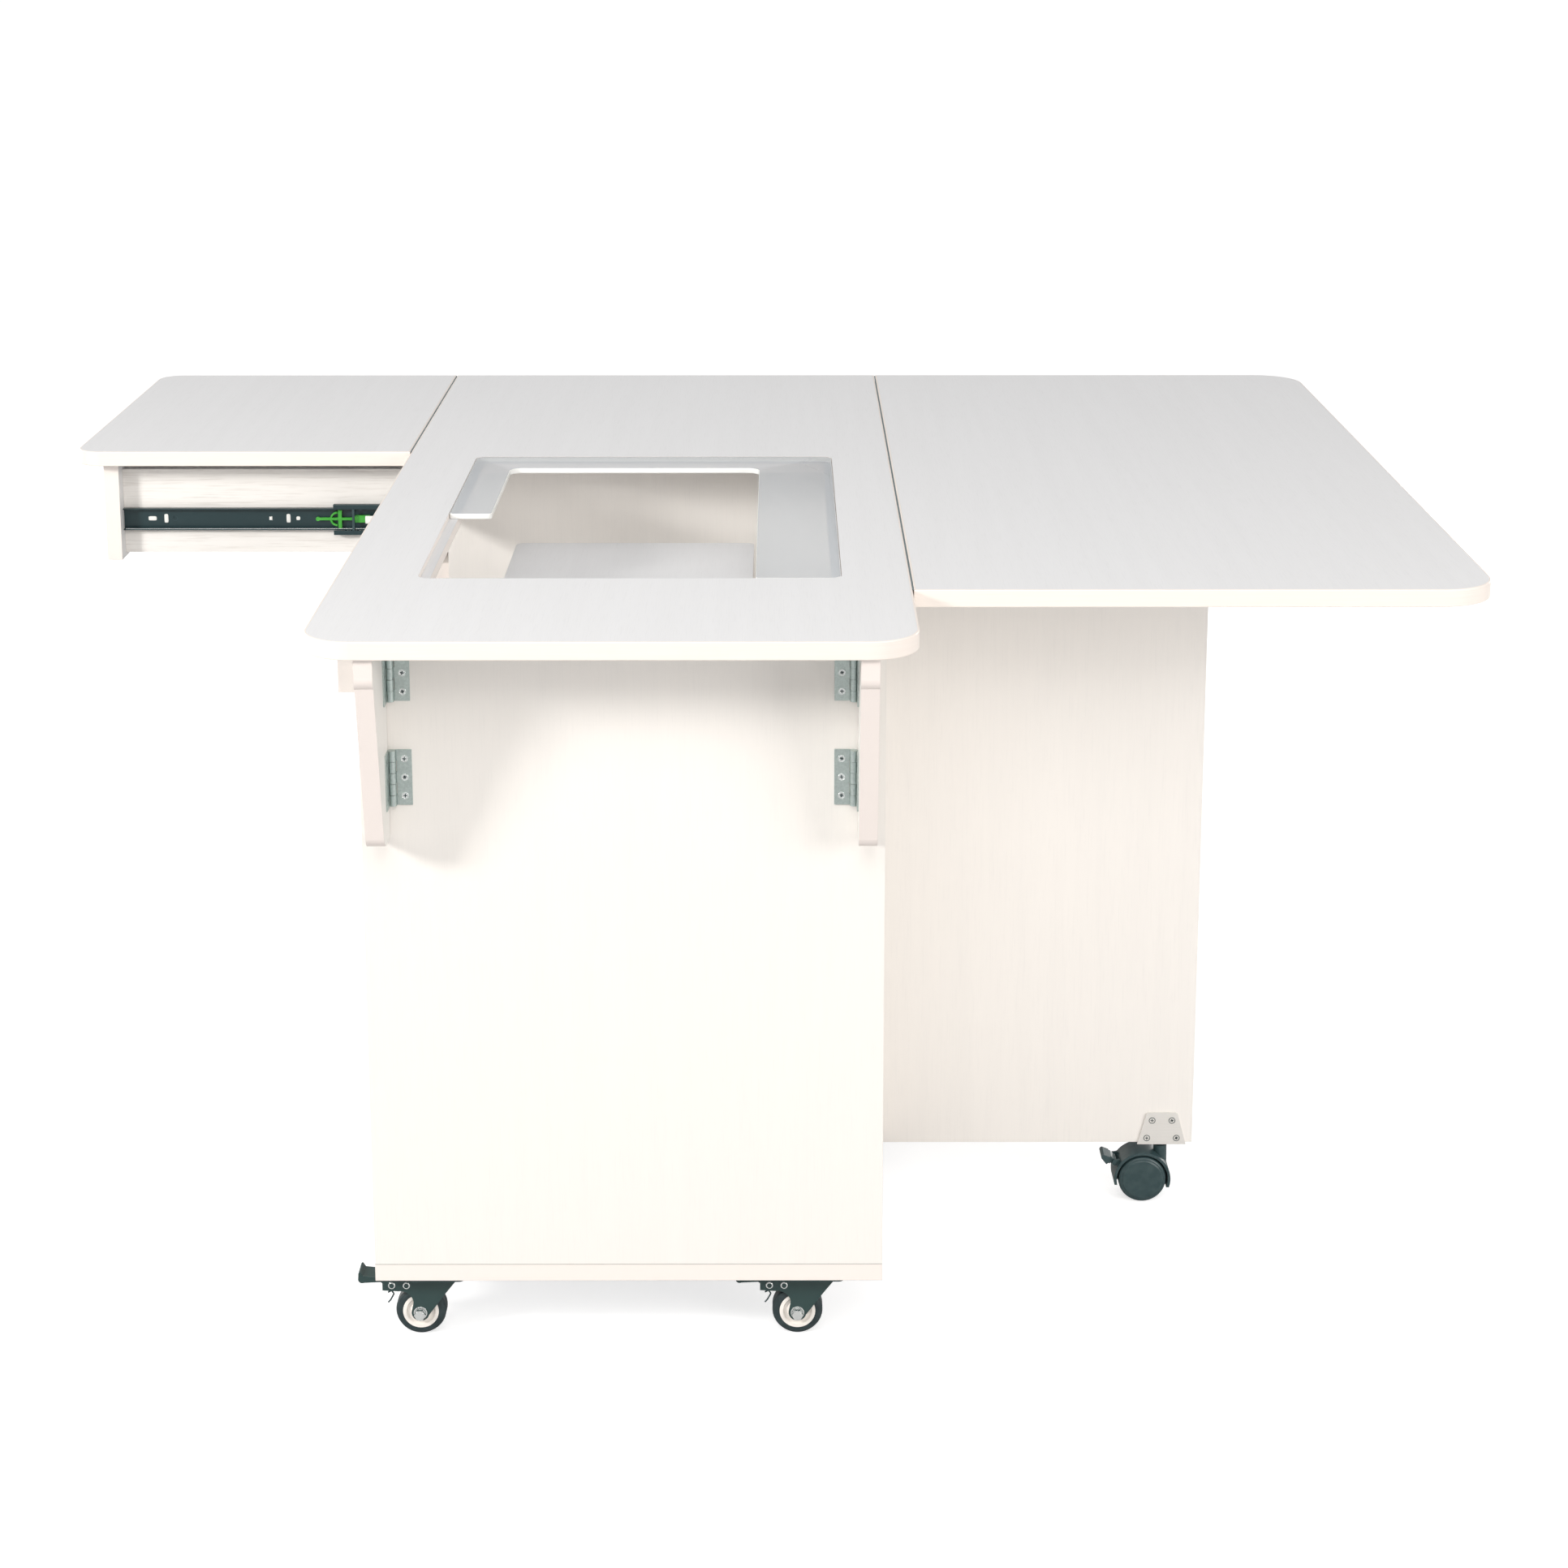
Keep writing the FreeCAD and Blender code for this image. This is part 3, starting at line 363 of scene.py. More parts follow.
@dataclass(frozen=True)
class ClearAcrylic(Finish):
    """Cast acrylic with polished edges: see-through and glossy, its edges painted pale as painted
    highlight, its face tinted pale as painted sheen and worn.
    """

    # The sheet colour is a pale painted sheen laid over the clear plate.
    sheet: str = "#DFE3E7"
    polished_edge_highlight: str = "#F6F7F5"
    sheet_sheen_cover: float = 0.5  # how much of what lies behind it the sheet's pale tint, a painted sheen, hides
    edge_highlight_cover: float = 0.9
    scratch_mm: float = 0.8

    def shader(self, tree: bpy.types.NodeTree) -> bpy.types.Node:
        """See-through sheet with a pale tint as painted sheen, paler and more solid at its edges as
        painted highlight, with hairlines that only gloss shows.

        Args:
            tree: The node tree that gets the nodes.

        Returns:
            The finish's shader node.
        """
        place = add(tree, "ShaderNodeTexCoord")
        scale = [1 / (90 * MM), 1 / (self.scratch_mm * MM), 1 / (90 * MM)]
        drawn = add(
            tree,
            "ShaderNodeMapping",
            inputs={"Vector": place.outputs["Object"], "Rotation": (0, 0, 0.5), "Scale": scale},
        )
        wear = add(tree, "ShaderNodeTexNoise", inputs={"Vector": drawn.outputs[0], "Scale": 1.0})
        gloss = add(
            tree,
            "ShaderNodeMapRange",
            inputs={
                "Value": wear.outputs["Fac"],
                "From Min": 0.5,
                "From Max": 0.9,
                "To Min": 0.06,
                "To Max": 0.2,
            },
        )
        split = add(tree, "ShaderNodeSeparateXYZ", inputs={0: place.outputs["Normal"]})
        level = add(tree, "ShaderNodeMath", {"operation": "ABSOLUTE"}, {0: split.outputs["Z"]})
        flat = add(
            tree,
            "ShaderNodeMapRange",
            inputs={"Value": level.outputs[0], "From Min": 0.9, "From Max": 0.99},
        )
        # Painted highlight on the edges and painted sheen on the faces: a pale colour that hides
        # part of what lies behind.
        colour = add(
            tree,
            "ShaderNodeMix",
            {"data_type": "RGBA"},
            {0: flat.outputs[0], 6: linear(self.polished_edge_highlight), 7: linear(self.sheet)},
        )
        cover = add(
            tree,
            "ShaderNodeMapRange",
            inputs={
                "Value": flat.outputs[0],
                "To Min": self.edge_highlight_cover,
                "To Max": self.sheet_sheen_cover,
            },
        )
        return add(
            tree,
            "ShaderNodeBsdfPrincipled",
            inputs={
                "Base Color": colour.outputs[2],
                "Roughness": gloss.outputs[0],
                "IOR": 1.49,
                "Alpha": cover.outputs[0],
            },
        )


@dataclass(frozen=True)
class Steel(Finish):
    """Bare or zinc-plated steel: cool grey shine, cloudy plating, and painted shade in its creases.
    """

    colour: str = "#A9B2AF"
    cloud: str = "#8B9592"
    painted_crease_shade: str = "#4A5252"
    roughness: float = 0.36
    metallic: float = 1.0
    cloud_mm: float = 2.2
    crease_shade_mm: float = 1.2
    brushed: Axis | None = None
    brush_mm: float = 0.5

    def shader(self, tree: bpy.types.NodeTree) -> bpy.types.Node:
        """Cloudy plating, painted shade in creases from ambient occlusion, and brush lines where it
        is brushed.

        Args:
            tree: The node tree that gets the nodes.

        Returns:
            The finish's shader node.
        """
        place = add(tree, "ShaderNodeTexCoord").outputs["Object"]
        scale = [1 / (self.cloud_mm * MM)] * 3
        if self.brushed is not None:
            scale = [1 / (self.brush_mm * MM)] * 3
            scale[self.brushed.value] = 1 / (40 * MM)
        drawn = add(tree, "ShaderNodeMapping", inputs={"Vector": place, "Scale": scale})
        clouds = add(
            tree,
            "ShaderNodeTexNoise",
            inputs={"Vector": drawn.outputs[0], "Scale": 1.0, "Detail": 4.0, "Roughness": 0.6},
        ).outputs["Fac"]
        plated = add(
            tree,
            "ShaderNodeMix",
            {"data_type": "RGBA"},
            {0: clouds, 6: linear(self.colour), 7: linear(self.cloud)},
        )
        # Painted shade: ambient occlusion pulls the colour towards the crease shade colour in
        # creases and recesses.
        crease_occlusion = add(
            tree,
            "ShaderNodeAmbientOcclusion",
            {"samples": 6, "only_local": True},
            {"Distance": self.crease_shade_mm * MM},
        )
        unshaded_share = add(
            tree,
            "ShaderNodeMapRange",
            inputs={"Value": crease_occlusion.outputs["AO"], "From Min": 0.35, "From Max": 0.85},
        )
        colour = add(
            tree,
            "ShaderNodeMix",
            {"data_type": "RGBA"},
            {0: unshaded_share.outputs[0], 6: linear(self.painted_crease_shade), 7: plated.outputs[2]},
        )
        gloss = add(
            tree,
            "ShaderNodeMapRange",
            inputs={
                "Value": clouds,
                "To Min": self.roughness - 0.06,
                "To Max": self.roughness + 0.1,
            },
        )
        soft = add(tree, "ShaderNodeBevel", {"samples": 4}, {"Radius": 0.25 * MM})
        rough = add(
            tree,
            "ShaderNodeBump",
            inputs={
                "Strength": 0.12,
                "Distance": 0.03 * MM,
                "Height": clouds,
                "Normal": soft.outputs[0],
            },
        )
        return add(
            tree,
            "ShaderNodeBsdfPrincipled",
            inputs={
                "Base Color": colour.outputs[2],
                "Metallic": self.metallic,
                "Roughness": gloss.outputs[0],
                "Normal": rough.outputs[0],
            },
        )


@dataclass(frozen=True)
class CoatedSteel(Finish):
    """Pressed steel under baked or dipped paint: smooth, semi-gloss, worn lighter on its edges."""

    colour: str = "#26363A"
    worn: str = "#5B6B6E"
    roughness: float = 0.34
    peel_mm: float = 1.6
    round_mm: float = 0.5

    def shader(self, tree: bpy.types.NodeTree) -> bpy.types.Node:
        """Paint with a fine orange-peel skin and lighter edges.

        Args:
            tree: The node tree that gets the nodes.

        Returns:
            The finish's shader node.
        """
        place = add(tree, "ShaderNodeTexCoord").outputs["Object"]
        peel = add(
            tree,
            "ShaderNodeTexNoise",
            inputs={"Vector": place, "Scale": 1 / (self.peel_mm * MM), "Detail": 2.0},
        ).outputs["Fac"]
        soft = add(tree, "ShaderNodeBevel", {"samples": 4}, {"Radius": self.round_mm * MM})
        true = add(tree, "ShaderNodeNewGeometry")
        turn = add(
            tree,
            "ShaderNodeVectorMath",
            {"operation": "DOT_PRODUCT"},
            {0: soft.outputs[0], 1: true.outputs["Normal"]},
        )
        edge = add(
            tree,
            "ShaderNodeMapRange",
            inputs={
                "Value": turn.outputs["Value"],
                "From Min": 0.99,
                "From Max": 0.8,
                "To Max": 0.5,
            },
        )
        colour = add(
            tree,
            "ShaderNodeMix",
            {"data_type": "RGBA"},
            {0: edge.outputs[0], 6: linear(self.colour), 7: linear(self.worn)},
        )
        skin = add(
            tree,
            "ShaderNodeBump",
            inputs={
                "Strength": 0.15,
                "Distance": 0.04 * MM,
                "Height": peel,
                "Normal": soft.outputs[0],
            },
        )
        gloss = add(
            tree,
            "ShaderNodeMapRange",
            inputs={
                "Value": peel,
                "To Min": self.roughness - 0.05,
                "To Max": self.roughness + 0.09,
            },
        )
        return add(
            tree,
            "ShaderNodeBsdfPrincipled",
            inputs={
                "Base Color": colour.outputs[2],
                "Roughness": gloss.outputs[0],
                "Normal": skin.outputs[0],
            },
        )


@dataclass(frozen=True)
class Moulded(Finish):
    """Injection-moulded plastic: even colour, spark-eroded grain, soft edges, a little dust."""

    colour: str
    dust: str
    roughness: float = 0.42
    grain_mm: float = 0.7
    dust_share: float = 0.16
    round_mm: float = 0.5

    def shader(self, tree: bpy.types.NodeTree) -> bpy.types.Node:
        """Plastic with mould grain and patches of dust.

        Args:
            tree: The node tree that gets the nodes.

        Returns:
            The finish's shader node.
        """
        place = add(tree, "ShaderNodeTexCoord").outputs["Object"]
        grain = add(
            tree,
            "ShaderNodeTexNoise",
            inputs={"Vector": place, "Scale": 1 / (self.grain_mm * MM), "Detail": 2.0},
        ).outputs["Fac"]
        cloud = add(
            tree,
            "ShaderNodeTexNoise",
            inputs={"Vector": place, "Scale": 1 / (9 * MM), "Detail": 4.0},
        ).outputs["Fac"]
        dusty = add(
            tree,
            "ShaderNodeMapRange",
            inputs={
                "Value": cloud,
                "From Min": 0.4,
                "From Max": 0.7,
                "To Max": self.dust_share,
            },
        )
        colour = add(
            tree,
            "ShaderNodeMix",
            {"data_type": "RGBA"},
            {0: dusty.outputs[0], 6: linear(self.colour), 7: linear(self.dust)},
        )
        soft = add(tree, "ShaderNodeBevel", {"samples": 4}, {"Radius": self.round_mm * MM})
        skin = add(
            tree,
            "ShaderNodeBump",
            inputs={
                "Strength": 0.14,
                "Distance": 0.04 * MM,
                "Height": grain,
                "Normal": soft.outputs[0],
            },
        )
        return add(
            tree,
            "ShaderNodeBsdfPrincipled",
            inputs={
                "Base Color": colour.outputs[2],
                "Roughness": self.roughness,
                "Normal": skin.outputs[0],
            },
        )


@dataclass(frozen=True)
class StudioPaper(Finish):
    """Seamless studio paper: matt, faintly mottled, and seen burnt out to white."""

    colour: str = "#CBCBCB"
    mottled: str = "#C6C6C7"
    glow: float = 0.66

    def shader(self, tree: bpy.types.NodeTree) -> bpy.types.Node:
        """Matt paper with a very slow mottle.

        Args:
            tree: The node tree that gets the nodes.

        Returns:
            The finish's shader node.
        """
        place = add(tree, "ShaderNodeTexCoord").outputs["Object"]
        mottle = add(tree, "ShaderNodeTexNoise", inputs={"Vector": place, "Scale": 2.0})
        colour = add(
            tree,
            "ShaderNodeMix",
            {"data_type": "RGBA"},
            {0: mottle.outputs["Fac"], 6: linear(self.colour), 7: linear(self.mottled)},
        )
        seen = add(tree, "ShaderNodeLightPath").outputs["Is Camera Ray"]
        lift = add(tree, "ShaderNodeMath", {"operation": "MULTIPLY"}, {0: seen, 1: self.glow})
        return add(
            tree,
            "ShaderNodeBsdfPrincipled",
            inputs={
                "Base Color": colour.outputs[2],
                "Roughness": 0.9,
                "Specular IOR Level": 0.1,
                "Emission Color": (1.0, 1.0, 1.0, 1.0),
                "Emission Strength": lift.outputs[0],
            },
        )


# Foil pressed on a polished plate: cool satin white whose pores run along the table.
BOARD_FLAT = Melamine("pressed melamine board, flat", Axis.X, Axis.Z)
# The same foil stood upright, its face painted lighter and warmer than the flat boards' as painted
# light on the upright faces, its grain fading into an even sheet.
BOARD_SIDE_PAINTED_LIGHTER = Melamine(
    "pressed melamine board, upright along Y, painted lighter",
    Axis.Z,
    Axis.X,
    face="#F1EDE8",
    contrast=0.08,
    figured=0.04,
)
# The same foil on the leg, painted a shade whiter than the cabinet: painted light for the leg,
# which stands in the back leaf's shade.
BOARD_LEG_PAINTED_LIGHTER = Melamine(
    "pressed melamine board, gate leg, painted lighter",
    Axis.Z,
    Axis.X,
    face="#FAF6F1",
    contrast=0.08,
    figured=0.04,
)
# Upright foil with its full grain, so back and apron show fine vertical streaks; its face is
# painted lighter than the flat boards' as painted light on the upright faces.
BOARD_BACK_PAINTED_LIGHTER = Melamine("pressed melamine board, upright along X, painted lighter", Axis.Z, Axis.Y, face="#F0ECE7")
# Foil laid with its grain level: fronts streaked from side to side.
BOARD_FRONT = Melamine("pressed melamine board, drawer and door fronts", Axis.X, Axis.Y)
# Sawn and banded all round: a slightly greyer face inside a creamy rim.
BOARD_BRACKET = Melamine(
    "pressed melamine board, brackets", Axis.Z, Axis.Y, face="#E4E2DE", edge="#E8DFDA"
)
# Thin foil printed with open ash grain: plain level streaks on every face.
BOARD_DRAWER = Melamine(
    "pressed melamine board, drawer walls",
    Axis.Y,
    face="#F3F0EC",
    pore="#CFC9C2",
    contrast=0.5,
    figured=0.16,
    pore_mm=2.2,
    pore_length_mm=60.0,
)
# Extruded and scraped: a cream line of satin gloss round each board.
BAND = EdgeBand("extruded PVC edge band")
# Cast between glass and polished: a clear pane with a pale painted sheen, and bright, milky edges
# as painted highlight.
ACRYLIC = ClearAcrylic("cast clear acrylic")
# Pressed, then barrel-plated: cool grey-green shine, mottled, with painted shade at its knuckles.
ZINC_HINGE = Steel(
    "zinc-plated pressed steel", colour="#D3DEDB", cloud="#A3B0AD", painted_crease_shade="#57615F"
)
# Turned, then plated: a brighter, tighter shine than the hinge round it.
ZINC_SCREW = Steel(
    "zinc-plated turned steel", colour="#F2F6F5", cloud="#D5DBDA", painted_crease_shade="#3E4646", roughness=0.25
)
# Polished under its nickel: near-mirror highlights on bolts, rivets and balls.
BRIGHT_STEEL = Steel(
    "bright nickel-plated steel", colour="#F4F6F5", cloud="#DDE2E1", painted_crease_shade="#59615F", roughness=0.2
)
# Hardened in oil: dull blue-black on the brake springs; on the screw crosses and the leg plate's
# screw rims the same dark stands as painted shade of recesses and outlines.
DARK_STEEL_AND_RECESS_SHADE = Steel(
    "dark oiled steel and painted recess shade", colour="#5C6A6B", cloud="#475455", painted_crease_shade="#2A3334", roughness=0.4
)
# Brushed one way and left bare: pale, flat and soft, with level hairlines.
SATIN_PLATE = Steel(
    "satin brushed steel plate",
    colour="#F3F1ED",
    cloud="#E6E3DE",
    painted_crease_shade="#8C8984",
    roughness=0.46,
    metallic=0.35,
    brushed=Axis.Y,
)
# Dipped in black: an even blue-black skin, worn grey along its rolled edges.
SLIDE_STEEL = CoatedSteel("black dip-coated slide steel", colour="#21373B", worn="#5C7176")
# Sprayed and baked: a thicker, glossier black that rounds the stamped edges.
FORK_STEEL = CoatedSteel("black baked-enamel pressed steel", colour="#28403F", worn="#67807F")
# Powder sprayed and melted: mid grey, matt, with a fine orange peel.
LIFT_STEEL = CoatedSteel(
    "grey powder-coated steel", colour="#8D9092", worn="#A9ACAD", roughness=0.5, peel_mm=0.9
)
# Coloured through: a bright, slightly waxy green that marks what is pressed.
GREEN_PLASTIC = Moulded("green moulded acetal", "#3FA636", "#7FC474", roughness=0.36)
# Uncoloured and slippery: a clean white with a soft highlight.
WHITE_PLASTIC = Moulded("white moulded acetal", "#F2F2EE", "#DAD9D4", roughness=0.4)
# Moulded in an eroded tool: dark blue-grey, its sheen broken by a fine grain.
BLACK_NYLON = Moulded("black moulded nylon", "#31474A", "#66787A", roughness=0.38)
# Cast and trimmed: darker and duller than the nylon, with floor dust in its skin.
BLACK_TYRE = Moulded(
    "black cast polyurethane tread", "#223134", "#4E5E60", roughness=0.48, dust_share=0.22
)
# Painted shade: a matt grey hairline where two boards meet, standing in for the shade of the joint.
JOINT_SHADE = Moulded("grey painted joint shade line", "#B9B8B5", "#A5A4A1", roughness=0.6)
# Painted shade: a matt blue-grey line low in each leaf seam that stands in for the dark gap and
# takes no highlight.
SEAM_SHADE = Moulded("grey painted seam shade strip", "#6E7F84", "#8796A0", roughness=0.6)
# Natural nylon: warm off-white, smooth, nearly clean.
CREAM_NYLON = Moulded("cream moulded nylon", "#FBF5EE", "#EADFD5", roughness=0.34, dust_share=0.1)


def paint(finish: Finish, *nodes: str) -> list[str]:
    """Gives CAD nodes a finish.

    Args:
        finish: The finish they wear.
        *nodes: The CAD nodes' names.

    Returns:
        The names, for the log.
    """
    for node in nodes:
        worn = NODES[node].data.materials
        worn.clear()
        worn.append(finish.material())
    return list(nodes)


# ---- Meshes ----


def settle(
    mesh: bpy.types.Mesh, piece: str, body: str, finish: Finish | None
) -> bpy.types.Object:
    """Makes a finished mesh a piece that rides on a body.

    Args:
        mesh: The mesh, placed in the table's frame.
        piece: The piece's name.
        body: The CAD body that it rides on.
        finish: Its finish, or None where the mesh has one already.

    Returns:
        The piece.
    """
    if finish is not None:
        mesh.materials.clear()
        mesh.materials.append(finish.material())
    mesh.shade_smooth()
    mesh.set_sharp_from_angle(angle=math.radians(38))
    obj = bpy.data.objects.new(piece, mesh)
    bpy.context.scene.collection.objects.link(obj)
    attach(obj, body)
    return obj


def softened_copy(node: str, width: float) -> bpy.types.Mesh:
    """A CAD node's mesh with its corners welded and its sharp edges bevelled.

    Args:
        node: The CAD node.
        width: The bevel's width in metres.

    Returns:
        The new mesh.
    """
    shape = bmesh.new()
    shape.from_mesh(NODES[node].data)
    bmesh.ops.remove_doubles(shape, verts=shape.verts, dist=0.01 * MM)
    bmesh.ops.dissolve_limit(
        shape, angle_limit=math.radians(1), verts=shape.verts, edges=shape.edges
    )
    sharp = [
        e
        for e in shape.edges
        if len(e.link_faces) == 2 and e.calc_face_angle(0.0) > math.radians(40)
    ]
    bmesh.ops.bevel(
        shape, geom=sharp, offset=width, segments=2, profile=0.6, affect="EDGES", clamp_overlap=True
    )
    mesh = bpy.data.meshes.new(node)
    shape.to_mesh(mesh)
    shape.free()
    return mesh


def loose_parts(node: str) -> list[tuple[Vector, Vector]]:
    """Finds the separate solids in a CAD node.

    Args:
        node: The CAD node.

    Returns:
        The lowest and highest corner of each solid.
    """
    shape = bmesh.new()
    shape.from_mesh(NODES[node].data)
    bmesh.ops.remove_doubles(shape, verts=shape.verts, dist=0.002 * MM)
    shape.verts.index_update()
    met: set[int] = set()
    parts = []
    for start in shape.verts:
        if start.index in met:
            continue
        met.add(start.index)
        waiting = [start]
        places = []
        while waiting:
            vert = waiting.pop()
            places.append(vert.co.copy())
            for edge in vert.link_edges:
                other = edge.other_vert(vert)
                if other.index not in met:
                    met.add(other.index)
                    waiting.append(other)
        low = Vector(tuple(min(p[i] for p in places) for i in range(3)))
        high = Vector(tuple(max(p[i] for p in places) for i in range(3)))
        parts.append((low, high))
    shape.free()
    return parts


def screw_faces(node: str, longest: float) -> tuple[Vector, ...]:
    """Finds the middles of the screw heads that a node turns towards +X.

    Args:
        node: The CAD node that holds the screws.
        longest: The most that a screw's head may span across its axis, in metres.

    Returns:
        The middle of each head's face.
    """
    heads = []
    for low, high in loose_parts(node):
        size = high - low
        if size.x > size.y and size.x > size.z and max(size.y, size.z) < longest:
            heads.append(Vector((high.x, (low.y + high.y) / 2, (low.z + high.z) / 2)))
    return tuple(heads)


def blocks(parts: Sequence[tuple[Point, Point]], width: float) -> bpy.types.Mesh:
    """Moulded blocks with rounded edges, in one mesh.

    Args:
        parts: The lowest and highest corner of each block.
        width: The rounding's width in metres.

    Returns:
        The mesh.
    """
    shape = bmesh.new()
    for low, high in parts:
        made = bmesh.ops.create_cube(shape, size=1.0)["verts"]
        for vert in made:
            vert.co = Vector(
                tuple(a if c < 0 else b for c, a, b in zip(vert.co, low, high))
            )
    bmesh.ops.bevel(
        shape, geom=list(shape.edges), offset=width, segments=3, profile=0.5, affect="EDGES"
    )
    mesh = bpy.data.meshes.new("blocks")
    shape.to_mesh(mesh)
    shape.free()
    return mesh


# ---- Geometry Nodes recipes ----


class Recipe:
    """A Geometry Nodes tree with named sizes that turns a guide mesh into hardware."""

    title: ClassVar[str] = ""
    sizes: ClassVar[tuple[str, ...]] = ()

    def hardware(
        self, tree: bpy.types.NodeTree, source: bpy.types.Node
    ) -> bpy.types.NodeSocket:
        """Builds the recipe's own nodes and returns the geometry's socket.

        Args:
            tree: The node tree that gets the nodes.
            source: The tree's input node, which holds the guide and the sizes.

        Returns:
            The hardware's geometry socket.
        """
        raise NotImplementedError

    def tree(self) -> bpy.types.NodeTree:
        """Builds the tree, or finds it if it is built already.

        Returns:
            The tree, which ends in Realize Instances and Set Material.
        """
        group = bpy.data.node_groups.get(self.title)
        if group is not None:
            return group
        group = bpy.data.node_groups.new(self.title, "GeometryNodeTree")
        face = group.interface
        face.new_socket("Guide", in_out="INPUT", socket_type="NodeSocketGeometry")
        for size in self.sizes:
            face.new_socket(size, in_out="INPUT", socket_type="NodeSocketFloat")
        face.new_socket("Finish", in_out="INPUT", socket_type="NodeSocketMaterial")
        face.new_socket("Hardware", in_out="OUTPUT", socket_type="NodeSocketGeometry")
        source = add(group, "NodeGroupInput")
        real = add(
            group, "GeometryNodeRealizeInstances", inputs={0: self.hardware(group, source)}
        )
        dressed = add(
            group,
            "GeometryNodeSetMaterial",
            inputs={"Geometry": real.outputs[0], "Material": source.outputs["Finish"]},
        )
        add(group, "NodeGroupOutput", inputs={0: dressed.outputs[0]})
        return group

    def make(
        self,
        piece: str,
        body: str,
        slot: str,
        finish: Finish,
        points: Sequence[Point],
        values: dict[str, float],
        edges: Sequence[tuple[int, int]] = (),
        turned: Sequence[float] = (),
    ) -> str:
        """Runs the recipe on a guide and keeps the result as a plain mesh piece.

        Args:
            piece: The piece's name.
            body: The CAD body that it rides on.
            slot: The record's material slot; not used.
            finish: Its finish.
            points: The guide's points in metres.
            values: The sizes by name, in metres or as counts.
            edges: The guide's edges, for what follows a line.
            turned: Each point's turn about Z in radians, for what sits on points.

        Returns:
            The piece's name, for the log.
        """
        guide = bpy.data.meshes.new(piece)
        guide.from_pydata(list(points), list(edges), [])
        turns = guide.attributes.new("turn", "FLOAT_VECTOR", "POINT")
        angles = list(turned) or [0.0] * len(points)
        turns.data.foreach_set("vector", [a for t in angles for a in (0.0, 0.0, t)])
        worker = bpy.data.objects.new("worker", guide)
        modifier = worker.modifiers.new("recipe", "NODES")
        modifier.node_group = self.tree()
        sockets = {
            item.name: item.identifier
            for item in modifier.node_group.interface.items_tree
            if item.in_out == "INPUT"
        }
        for name, value in values.items():
            modifier[sockets[name]] = value
        modifier[sockets["Finish"]] = finish.material()
        bpy.context.scene.collection.objects.link(worker)
        graph = bpy.context.evaluated_depsgraph_get()
        mesh = bpy.data.meshes.new_from_object(worker.evaluated_get(graph))
        bpy.data.objects.remove(worker)
        mesh.name = piece
        settle(mesh, piece, body, None)
        return piece


class OnPoints(Recipe):
    """Hardware that repeats on the guide's points, its axis along X and then turned about Z."""

    def one(self, tree: bpy.types.NodeTree, source: bpy.types.Node) -> bpy.types.NodeSocket:
        """Builds one piece of hardware with its axis along Z.

        Args:
            tree: The node tree that gets the nodes.
            source: The tree's input node, which holds the guide and the sizes.

        Returns:
            The hardware's geometry socket.
        """
        raise NotImplementedError

    def hardware(
        self, tree: bpy.types.NodeTree, source: bpy.types.Node
    ) -> bpy.types.NodeSocket:
        """Lays one along X and puts it on every point.

        Args:
            tree: The node tree that gets the nodes.
            source: The tree's input node, which holds the guide and the sizes.

        Returns:
            The hardware's geometry socket.
        """
        spun = add(
            tree,
            "GeometryNodeTransform",
            inputs={"Geometry": self.one(tree, source), "Rotation": (0, 0, math.pi / 2)},
        )
        laid = add(
            tree,
            "GeometryNodeTransform",
            inputs={"Geometry": spun.outputs[0], "Rotation": (0, math.pi / 2, 0)},
        )
        turn = add(
            tree,
            "GeometryNodeInputNamedAttribute",
            {"data_type": "FLOAT_VECTOR"},
            {"Name": "turn"},
        )
        placed = add(
            tree,
            "GeometryNodeInstanceOnPoints",
            inputs={
                "Points": source.outputs["Guide"],
                "Instance": laid.outputs[0],
                "Rotation": turn.outputs[0],
            },
        )
        return placed.outputs[0]


class RolledRivet(OnPoints):
    """A tubular rivet's rolled rim."""

    title = "Rolled rivet rims"
    sizes = ("Rim Radius", "Roll Radius")

    def one(self, tree: bpy.types.NodeTree, source: bpy.types.Node) -> bpy.types.NodeSocket:
        """A ring of round section.

        Args:
            tree: The node tree that gets the nodes.
            source: The tree's input node, which holds the guide and the sizes.

        Returns:
            The hardware's geometry socket.
        """
        rim = add(
            tree,
            "GeometryNodeCurvePrimitiveCircle",
            {"mode": "RADIUS"},
            {"Resolution": 28, "Radius": source.outputs["Rim Radius"]},
        )
        roll = add(
            tree,
            "GeometryNodeCurvePrimitiveCircle",
            {"mode": "RADIUS"},
            {"Resolution": 12, "Radius": source.outputs["Roll Radius"]},
        )
        ring = add(
            tree,
            "GeometryNodeCurveToMesh",
            inputs={"Curve": rim.outputs[0], "Profile Curve": roll.outputs[0]},
        )
        return ring.outputs[0]


